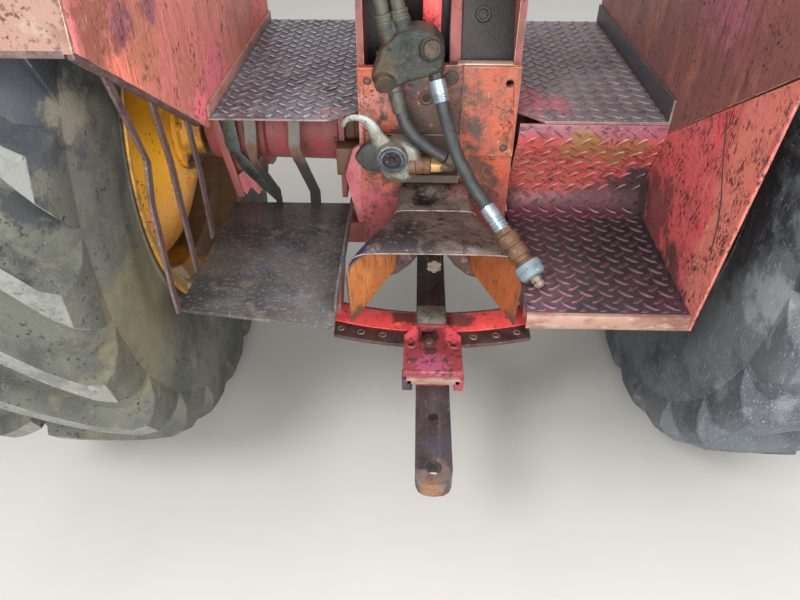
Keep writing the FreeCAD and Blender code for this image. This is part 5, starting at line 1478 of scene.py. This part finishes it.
def shield():
    # back, half width, top, shoulder, foot, half width at the foot
    table = [
        (1176.5, 83, -114, 14, -252, 85),
        (1244, 96, -142, 24, -306, 95),
        (1250, 98, -146.5, 26, -311, 97),
        (1256, 104, -147, 30, -315, 101),
        (1292, 136, -151, 46, -338, 131),
        (1334, 170, -158, 62, -359, 163),
        (1360, 191, -166, 70, -373, 185),
        (1372, 199, -173, 73, -380, 193),
        (1378, 202, -180, 73, -382.5, 196),
    ]
    rows = []
    for here, there in zip(table, table[1:]):
        count = max(1, round((there[0] - here[0]) / 9))
        for number in range(count):
            share = number / count
            rows.append(tuple(a + (b - a) * share for a, b in zip(here, there)))
    rows.append(table[-1])
    lines = []
    for number, row in enumerate(rows):
        line = pulled_line(f"shield_line_{number}", shield_line(*row))
        object_mode()
        lines.append(line)
    piece = joined("shield_pressed", *lines)
    edit_all(piece)
    bpy.ops.mesh.bridge_edge_loops()
    bpy.ops.mesh.select_all(action="SELECT")
    bpy.ops.mesh.normals_make_consistent(inside=False)
    object_mode()
    top = max(piece.data.polygons, key=lambda face: face.center.z)
    if top.normal.z < 0:
        edit_all(piece)
        bpy.ops.mesh.flip_normals()
        object_mode()
    # dents beaten into the top: middle across and along, half sizes, depth
    dents = [(-20, -1213, 30, 27, 13), (42, -1225, 34, 30, 4), (60, -1318, 60, 40, 4), (-70, -1300, 50, 34, 3)]
    for corner in piece.data.vertices:
        for across, along, wide, deep, drop in dents:
            gap = ((corner.co.x / MM - across) / wide) ** 2 + ((corner.co.y / MM - along) / deep) ** 2
            if gap < 1 and corner.co.z > -0.2:
                corner.co.z -= drop * MM * (1 - gap) ** 1.3
    paint(piece, shield_steel, shield_rust)
    use_modifier(piece, "SOLIDIFY", thickness=5 * MM, offset=-1, material_offset=1, material_offset_rim=0)
    use_modifier(piece, "BEVEL", width=1.2 * MM, segments=2, limit_method="ANGLE", angle_limit=math.radians(50))
    shade(piece, 34)
    show(piece, "rear_frame", "rusty_steel", "pto_shield")
    fold = [(-99, -1252, -176), (-97, -1251, -156), (-84, -1251, -146), (-40, -1251, -145.5), (40, -1251, -145.5),
            (84, -1251, -146), (97, -1251, -156), (99, -1252, -176)]
    bead = tube("shield_fold_bead", fold, 1.6)
    show(paint(bead, bar_edge), "rear_frame", "rusty_steel")
    # a thin tube for the brow's rolled edge, its pale colour a painted highlight
    brow = [(-198, -1378, -262), (-199, -1378, -215), (-176, -1378, -184), (-120, -1378, -180.5), (0, -1378, -180.5),
            (120, -1378, -180.5), (176, -1378, -184), (199, -1378, -215), (198, -1378, -262)]
    edge = tube("shield_brow_edge", brow, 1.4)
    show(paint(edge, bar_edge), "rear_frame", "rusty_steel")
    lobe = [(-30, -262), (-66, -292), (-104, -330), (-128, -366), (-118, -384), (-92, -376), (-58, -346), (-34, -312)]
    for turn in (-1, 1):
        side_lobe = slab("pto_lobe", [(turn * -right, up) for right, up in lobe], 14, "back", 1177, 4, 3)
        show(paint(side_lobe, lobe_iron), "rear_frame", "greasy_iron")


shield()


# Drawbar: the bar, its curved support, and the carrier that slides on it

PIVOT = (0, -560)


def arc_point(radius, across):
    """A point on an arc about the drawbar's pin."""
    return across, PIVOT[1] - math.sqrt(radius * radius - across * across)


def arc_strip(name, inner, outer, half, low, high, round_off):
    steps = 28
    stations = [-half + 2 * half * number / steps for number in range(steps + 1)]
    outline = [arc_point(outer, across) for across in stations]
    outline += [arc_point(inner, across) for across in reversed(stations)]
    return slab(name, outline, high - low, "top", low, round_off)


def bore(piece, across, along, low, high, radius, steps=24):
    """A round hole through a piece, upright."""
    drill = turned("drill", [(0, 0), (0, radius), (high - low, radius), (high - low, 0)], (across, along, low),
                   (across, along, high), steps)
    use_modifier(piece, "BOOLEAN", operation="DIFFERENCE", object=drill, solver="EXACT")
    bpy.data.objects.remove(drill)


def support():
    plate = arc_strip("support_plate_red", 730, 800, 241.5, -433, -423.2, 1.5)
    paint(plate, bright_enamel)
    rear = arc_strip("support_slide", 796, 847.5, 241.5, -437, -426, 1.5)
    for across in (-225, -175, -121, 101, 156, 209):
        spot = arc_point(822, across)
        bore(rear, *spot, -445, -418, 7)
    shade(rear)
    paint(rear, support_rear)
    rims = []
    for across in (-225, -175, -121, 101, 156, 209):
        x, y = arc_point(822, across)
        ring = turned("hole_burr", [(0, 7), (0, 9.5), (1, 8.6), (1, 7), (0, 7)], (x, y, -426.2), (x, y, -420), 20)
        rims.append(paint(ring, worn_edge))
    front = arc_strip("support_front_edge", 729.5, 735, 238, -437, -420.5, 1.2)
    paint(front, support_rear)
    for word, side in SIDES:
        span = sorted((side * 228, side * 242))
        outline = [(-1080, -305), (-1080, -245), (-1160, -245), (-1300, -393), (-1300, -424), (-1240, -424)]
        arm = slab("support_arm_" + word, outline, 14, "side", span[0], 1.6)
        span = sorted((side * 179, side * 241))
        foot = block("support_foot_" + word, (span[0], -1150, -305), (span[1], -1080, -245), 2)
        rims += [paint(arm, low_enamel), paint(foot, low_enamel)]
    whole = joined("support_made", plate, rear, front, *rims)
    show(whole, "rear_frame", "red_enamel", "drawbar_support")


def carrier():
    half = 68
    outline = [(-half, -1525), (half, -1525), (half, -1402), (26, -1345), (-26, -1345), (-half, -1402)]
    plate = slab("carrier_plate", outline, 18, "top", -417, 0)
    for across in (-50, 50):
        bore(plate, across, -1432, -430, -390, 10)
    pocket = block("carrier_pocket", (-32, -1452, -405), (30, -1366, -392), 0)
    use_modifier(plate, "BOOLEAN", operation="DIFFERENCE", object=pocket, solver="EXACT")
    bpy.data.objects.remove(pocket)
    square = block("carrier_square", (-26, -1400, -425), (2, -1372, -395), 0)
    use_modifier(plate, "BOOLEAN", operation="DIFFERENCE", object=square, solver="EXACT")
    bpy.data.objects.remove(square)
    soften(plate, 2.2)
    shade(plate)
    lower = block("carrier_block", (-38, -1525, -445), (38, -1414, -415.5), 2)
    lip = block("carrier_lip", (-60, -1535, -430), (62, -1523.5, -412), 2.5)
    cheeks = [block("carrier_cheek", low, high, 3) for low, high in
              (((-70, -1535, -450), (-46, -1497, -415.5)), ((48, -1535, -450), (70, -1497, -415.5)))]
    for piece in (plate, lower):
        paint(piece, carrier_enamel)
    paint(cheeks[0], cheek_steel)
    paint(cheeks[1], carrier_enamel)
    paint(lip, lip_enamel)
    rings = []
    for across in (-50, 50):
        ring = turned("carrier_hole_ring", [(0, 10), (0, 16), (2.5, 14.5), (2.5, 10), (0, 10)], (across, -1432, -399.5),
                      (across, -1432, -390), 28)
        rings.append(paint(ring, carrier_enamel))
        depth = turned("carrier_hole_floor", [(0, 0), (0, 10.5), (1, 10.5), (1, 0)], (across, -1432, -409),
                       (across, -1432, -380), 28)
        rings.append(paint(depth, hollow_black))
    sole = [(-1362, -417), (-1362, -400), (-1350, -389), (-1322, -385), (-1300, -391), (-1286, -404), (-1282, -417)]
    shoe = slab("carrier_shoe", sole, 74, "side", -39, 0)
    soften(shoe, 15, 5)
    shade(shoe, 60)
    paint(shoe, shoe_iron)
    bolt = hex_bolt("carrier_bolt", (-8, -1424, -405), (-8, -1424, -380), 19, 8, 13)
    paint(bolt, greasy_iron)
    whole = joined("carrier_made", plate, lower, lip, *cheeks, *rings, shoe, bolt)
    show(whole, "drawbar", "red_enamel", "drawbar_carrier")


def bar():
    """The drawbar: a forged flat bar with a blunt round end, bored for the hitch pin."""
    tail = [(38.1, -1752), (36.5, -1768), (31, -1781), (20, -1789), (0, -1792)]
    nose = [(-38.1, -560), (-33, -541), (-19, -527), (0, -522), (19, -527), (33, -541), (38.1, -560)]
    outline = tail + [(-across, along) for across, along in reversed(tail[:-1])] + nose
    piece = slab("drawbar_forged", outline, 38, "top", -483, 0)
    for along, radius in ((-1749, 16.5), (-1614, 11), (-560, 16.8)):
        bore(piece, 0, along, -490, -440, radius, 40)
    use_modifier(piece, "BEVEL", width=2.5 * MM, segments=2, limit_method="ANGLE", angle_limit=math.radians(40),
                 material=1)
    paint(piece, drawbar_steel, drawbar_edge)
    shade(piece)
    show(piece, "drawbar", "rusty_steel", "drawbar")


support()
carrier()
bar()


# Hydraulics: the cast valve block on its pipes, and the forked coupler

VALVE = (-60, 187)


def rod(name, radius, start, end, steps=32, round_off=0):
    """A plain round bar from one point to another."""
    length = (Vector(end) - Vector(start)).length
    return turned(name, [(0, 0), (0, radius), (length, radius), (length, 0)], start, end, steps, round_off)


def cast_skin(piece, voxel, rounds):
    """Joined pieces melt into one casting: remeshed all over and smoothed."""
    use_modifier(piece, "REMESH", mode="VOXEL", voxel_size=voxel * MM, use_smooth_shade=True)
    use_modifier(piece, "SMOOTH", factor=0.6, iterations=rounds)
    return piece


def valve():
    casting = [(-84, -34), (-70, -58), (-44, -60), (-8, -42), (38, -30), (66, -14), (70, 26), (48, 58), (14, 64),
               (-24, 58), (-60, 26)]
    outline = [(VALVE[0] + right, VALVE[1] + up) for right, up in casting]
    body = slab("valve_body", outline, 80, "back", 1150, 9, 3)
    parts = [body]
    parts.append(rod("valve_plug_seat", 24, (-28, -1198, 210), (-17, -1242, 219)))
    parts.append(rod("valve_left_neck", 23, lead(SHORT_HOSE, False, 92), lead(SHORT_HOSE, False, 52)))
    parts.append(rod("valve_right_neck", 24, lead(LONG_HOSE, False, 118), lead(LONG_HOSE, False, 66)))
    parts.append(rod("valve_low_boss", 22, (-116, -1220, 150), (-112, -1238, 143)))
    for route in PIPES:
        parts.append(rod("valve_pipe_boss", 19, lead(route, False, 44), lead(route, False, 8)))
    whole = cast_skin(joined("valve_casting", *parts), 2.4, 4)
    paint(whole, valve_iron)
    face = turned("valve_plug_face", [(0, 0), (0, 17), (3, 17.5), (5, 16), (5, 13), (3, 12), (3, 0)],
                  (-18, -1240.5, 218.4), (-14, -1256, 221.6), 36)
    paint(face, greasy_iron)
    ring = turned("valve_plug_ring", [(0, 16), (0, 21), (4, 21), (5, 20), (5, 18), (4, 16), (0, 16)],
                  (-18.5, -1239.5, 218.2), (-14, -1256, 221.6), 36)
    paint(ring, hollow_black)
    pieces = [whole, face, ring]
    for across, up, radius in ((-103, 214, 5), (-61, 143, 4.5), (-128, 196, 3)):
        hole = turned("valve_hole", [(0, 0), (0, radius), (0.8, radius), (0.8, 0)], (across, -1229.7, up),
                      (across, -1250, up), 16)
        pieces.append(paint(hole, hollow_black))
    left = turned("valve_left_crimp", [(0, 0), (0, 18.5), (14, 19), (16, 16.5), (58, 16.5), (60, 15.5), (60, 12)],
                  lead(SHORT_HOSE, False, 20), lead(SHORT_HOSE, False, 0), 40)
    pieces.append(paint(left, pipe_steel))
    nut = turned("valve_right_nut", [(0, 0), (0, 19), (1.5, 20), (24, 20), (25.5, 19), (26, 16), (40, 15.5), (40, 0)],
                 lead(LONG_HOSE, False, 84), lead(LONG_HOSE, False, 44), 6, 0.8)
    pieces.append(paint(nut, valve_iron))
    crimp = turned("valve_right_crimp", sleeve(0, 47, 17.5, 30, 3), lead(LONG_HOSE, False, 46),
                   lead(LONG_HOSE, False, 0), 48)
    pieces.append(paint(crimp, zinc))
    whole = joined("valve_made", *pieces)
    show(whole, "rear_frame", "greasy_iron", "valve_block")


PIPES = [[(-115, -1192, 262), (-129, -1180, 320)], [(-83, -1192, 272), (-97, -1180, 330)]]


def supply_pipes():
    pieces = []
    for number, (foot, bend) in enumerate(PIPES):
        route = [lead((foot, bend), False, 12), foot, (Vector(foot) * 0.35 + Vector(bend) * 0.65),
                 (bend[0], bend[1] - 2, bend[2] + 4), (bend[0], bend[1] + 30, bend[2] + 2),
                 (bend[0], -1110, bend[2] - 2), (bend[0], -1020.5, bend[2] - 2)]
        pipe = tube(f"supply_pipe_{number}", [tuple(spot) for spot in route], 13.6, sides=8)
        pieces.append(paint(pipe, pipe_steel))
        steps = [(0, 0), (0, 17), (9, 17), (10, 18.5), (16, 18.5), (17, 16.5), (24, 16.5), (25, 17.5), (30, 17.5),
                 (31, 14)]
        collar = turned("pipe_collar", steps, lead((foot, bend), False, 22), bend, 36)
        pieces.append(paint(collar, pipe_steel))
    whole = joined("supply_pipes_bent", *pieces)
    show(whole, "rear_frame", "greasy_iron", "supply_pipes")


COUPLER = (-100, -24)


def coupler():
    x, z = COUPLER
    rear = -1246
    nose = turned("coupler_nose", [(17, 0), (17, 22), (3, 23.5), (3, 29), (5, 33), (24, 37), (24, 0)], (x, rear, z), (x, -1158, z), 48)
    shell = [(0, 0), (0, 37), (4, 46), (12, 51), (30, 52.5), (50, 50), (62, 40), (74, 34), (74, 0)]
    body = turned("coupler_shell", shell, (x + 17, -1229, z - 15), (x + 17, -1155, z - 15), 48)
    # the arm's middle line: across, up and its half width; then it is pressed flat
    arm = [(-208, 41, 5), (-206, 52, 6), (-196, 61, 7), (-178, 65, 8), (-157, 59, 10.5), (-143, 45, 13),
           (-136, 27, 15), (-127, 8, 21), (-112, -12, 27)]
    curve = cord_curve("coupler_arm", [(across, -1215, up) for across, up, half in arm], 1, sides=6)
    for point, (across, up, half) in zip(curve.data.splines[0].points, arm):
        point.radius = half
    pick(curve)
    bpy.ops.object.convert(target="MESH")
    hook = bpy.context.object
    edit_all(hook)
    bpy.ops.transform.resize(value=(1, 0.5, 1), center_override=at(x, -1215, z))
    object_mode()
    cast = cast_skin(joined("coupler_fork", hook, nose, body), 1.8, 4)
    paint(cast, cast_zinc)
    lug_outline = [(-186, -30), (-166, -2), (-146, 8), (-118, -6), (-112, -40), (-128, -62), (-160, -62)]
    lug_low = slab("coupler_lug_low", lug_outline, 26, "back", 1198, 6, 3)
    paint(lug_low, valve_iron)
    ring = turned("coupler_ring", [(2, 21), (2, 23), (-0.6, 24), (-0.6, 27), (3, 30), (5, 30), (5, 21), (2, 21)],
                  (x, rear + 0.6, z), (x, rear + 20, z), 64)
    paint(ring, socket_ring)
    floor = turned("coupler_socket", [(5, 0), (5, 5.5), (11, 7), (11, 22.6), (15, 22.6), (15, 0)],
                   (x, rear, z), (x, rear + 40, z), 48)
    paint(floor, hollow_black)
    studs = []
    for number in range(5):
        angle = math.tau * number / 5 + 0.4
        spot = (x + 13 * math.sin(angle), rear + 11.2, z + 13 * math.cos(angle))
        tip = (spot[0], spot[1] - 10, spot[2])
        stud = turned("coupler_stud", [(0, 0), (0, 2.4), (1.6, 2), (2.4, 0)], spot, tip, 12)
        studs.append(paint(stud, socket_ring))
    whole = joined("coupler_made", cast, lug_low, ring, floor, *studs)
    show(whole, "rear_frame", "zinc", "coupler_body")
    y, low = -1214, -48
    steps = [(0, 0), (0, 24), (14, 24), (16, 21), (30, 20.5), (31, 19), (34, 19), (35, 20.5), (48, 20), (50, 17), (50, 0)]
    collar = turned("coupler_collar", steps, (-62, y, low), (0, y, low), 40)
    paint(collar, adapter_steel)
    gold = turned("fitting_brass", [(0, 0), (0, 17), (1.5, 18.5), (20, 17.5), (26, 16), (27, 14), (27, 0)],
                  (-14, y, low), (20, y, low), 6, 1)
    paint(gold, brass)
    bend = [(8, y, low), (22, y, low), (33, -1216, -47), (37, -1220, -36), (29, -1225, -28), lead(SHORT_HOSE, True, 2)]
    elbow = tube("fitting_elbow_bend", bend, 15, sides=8)
    paint(elbow, greasy_iron)
    fitting = joined("fitting_made", collar, gold, elbow)
    show(fitting, "rear_frame", "brass", "coupler_fitting")


valve()
supply_pipes()
coupler()


# Stage: a plain pale floor that the tyres touch, and soft light

def stage():
    deselect()
    bpy.ops.mesh.primitive_plane_add(size=30, location=(0, -1, FLOOR_Z * MM - 0.002))
    floor = bpy.context.object
    floor.name = "floor"
    settle(floor)
    paint(floor, floor_paint)


def lamp(name, place, aim_at, size, power):
    data = bpy.data.lights.new(name, "AREA")
    data.shape = "DISK"
    data.size = size
    data.energy = power
    piece = bpy.data.objects.new(name, data)
    bpy.context.scene.collection.objects.link(piece)
    piece.location = place
    piece.rotation_mode = "QUATERNION"
    piece.rotation_quaternion = (Vector(aim_at) - Vector(place)).to_track_quat("-Z", "Y")


def lights():
    world = bpy.data.worlds.new("studio")
    world.use_nodes = True
    background = world.node_tree.nodes["Background"]
    background.inputs["Color"].default_value = (1, 1, 1, 1)
    background.inputs["Strength"].default_value = 0.82
    bpy.context.scene.world = world
    lamp("key", (-2.2, -4.2, 3.6), (0, -1.1, -0.2), 1.6, 165)
    lamp("fill", (3.2, -3.6, 2.2), (0, -1.1, -0.2), 2.6, 150)
    lamp("top", (0, 0.5, 4.2), (0, -1.0, 0), 3, 45)
    lamp("low", (0, -3.9, 0.1), (0, -1.0, -0.2), 1.6, 55)
    settings = bpy.context.scene.view_settings
    settings.view_transform = "Standard"


stage()
lights()
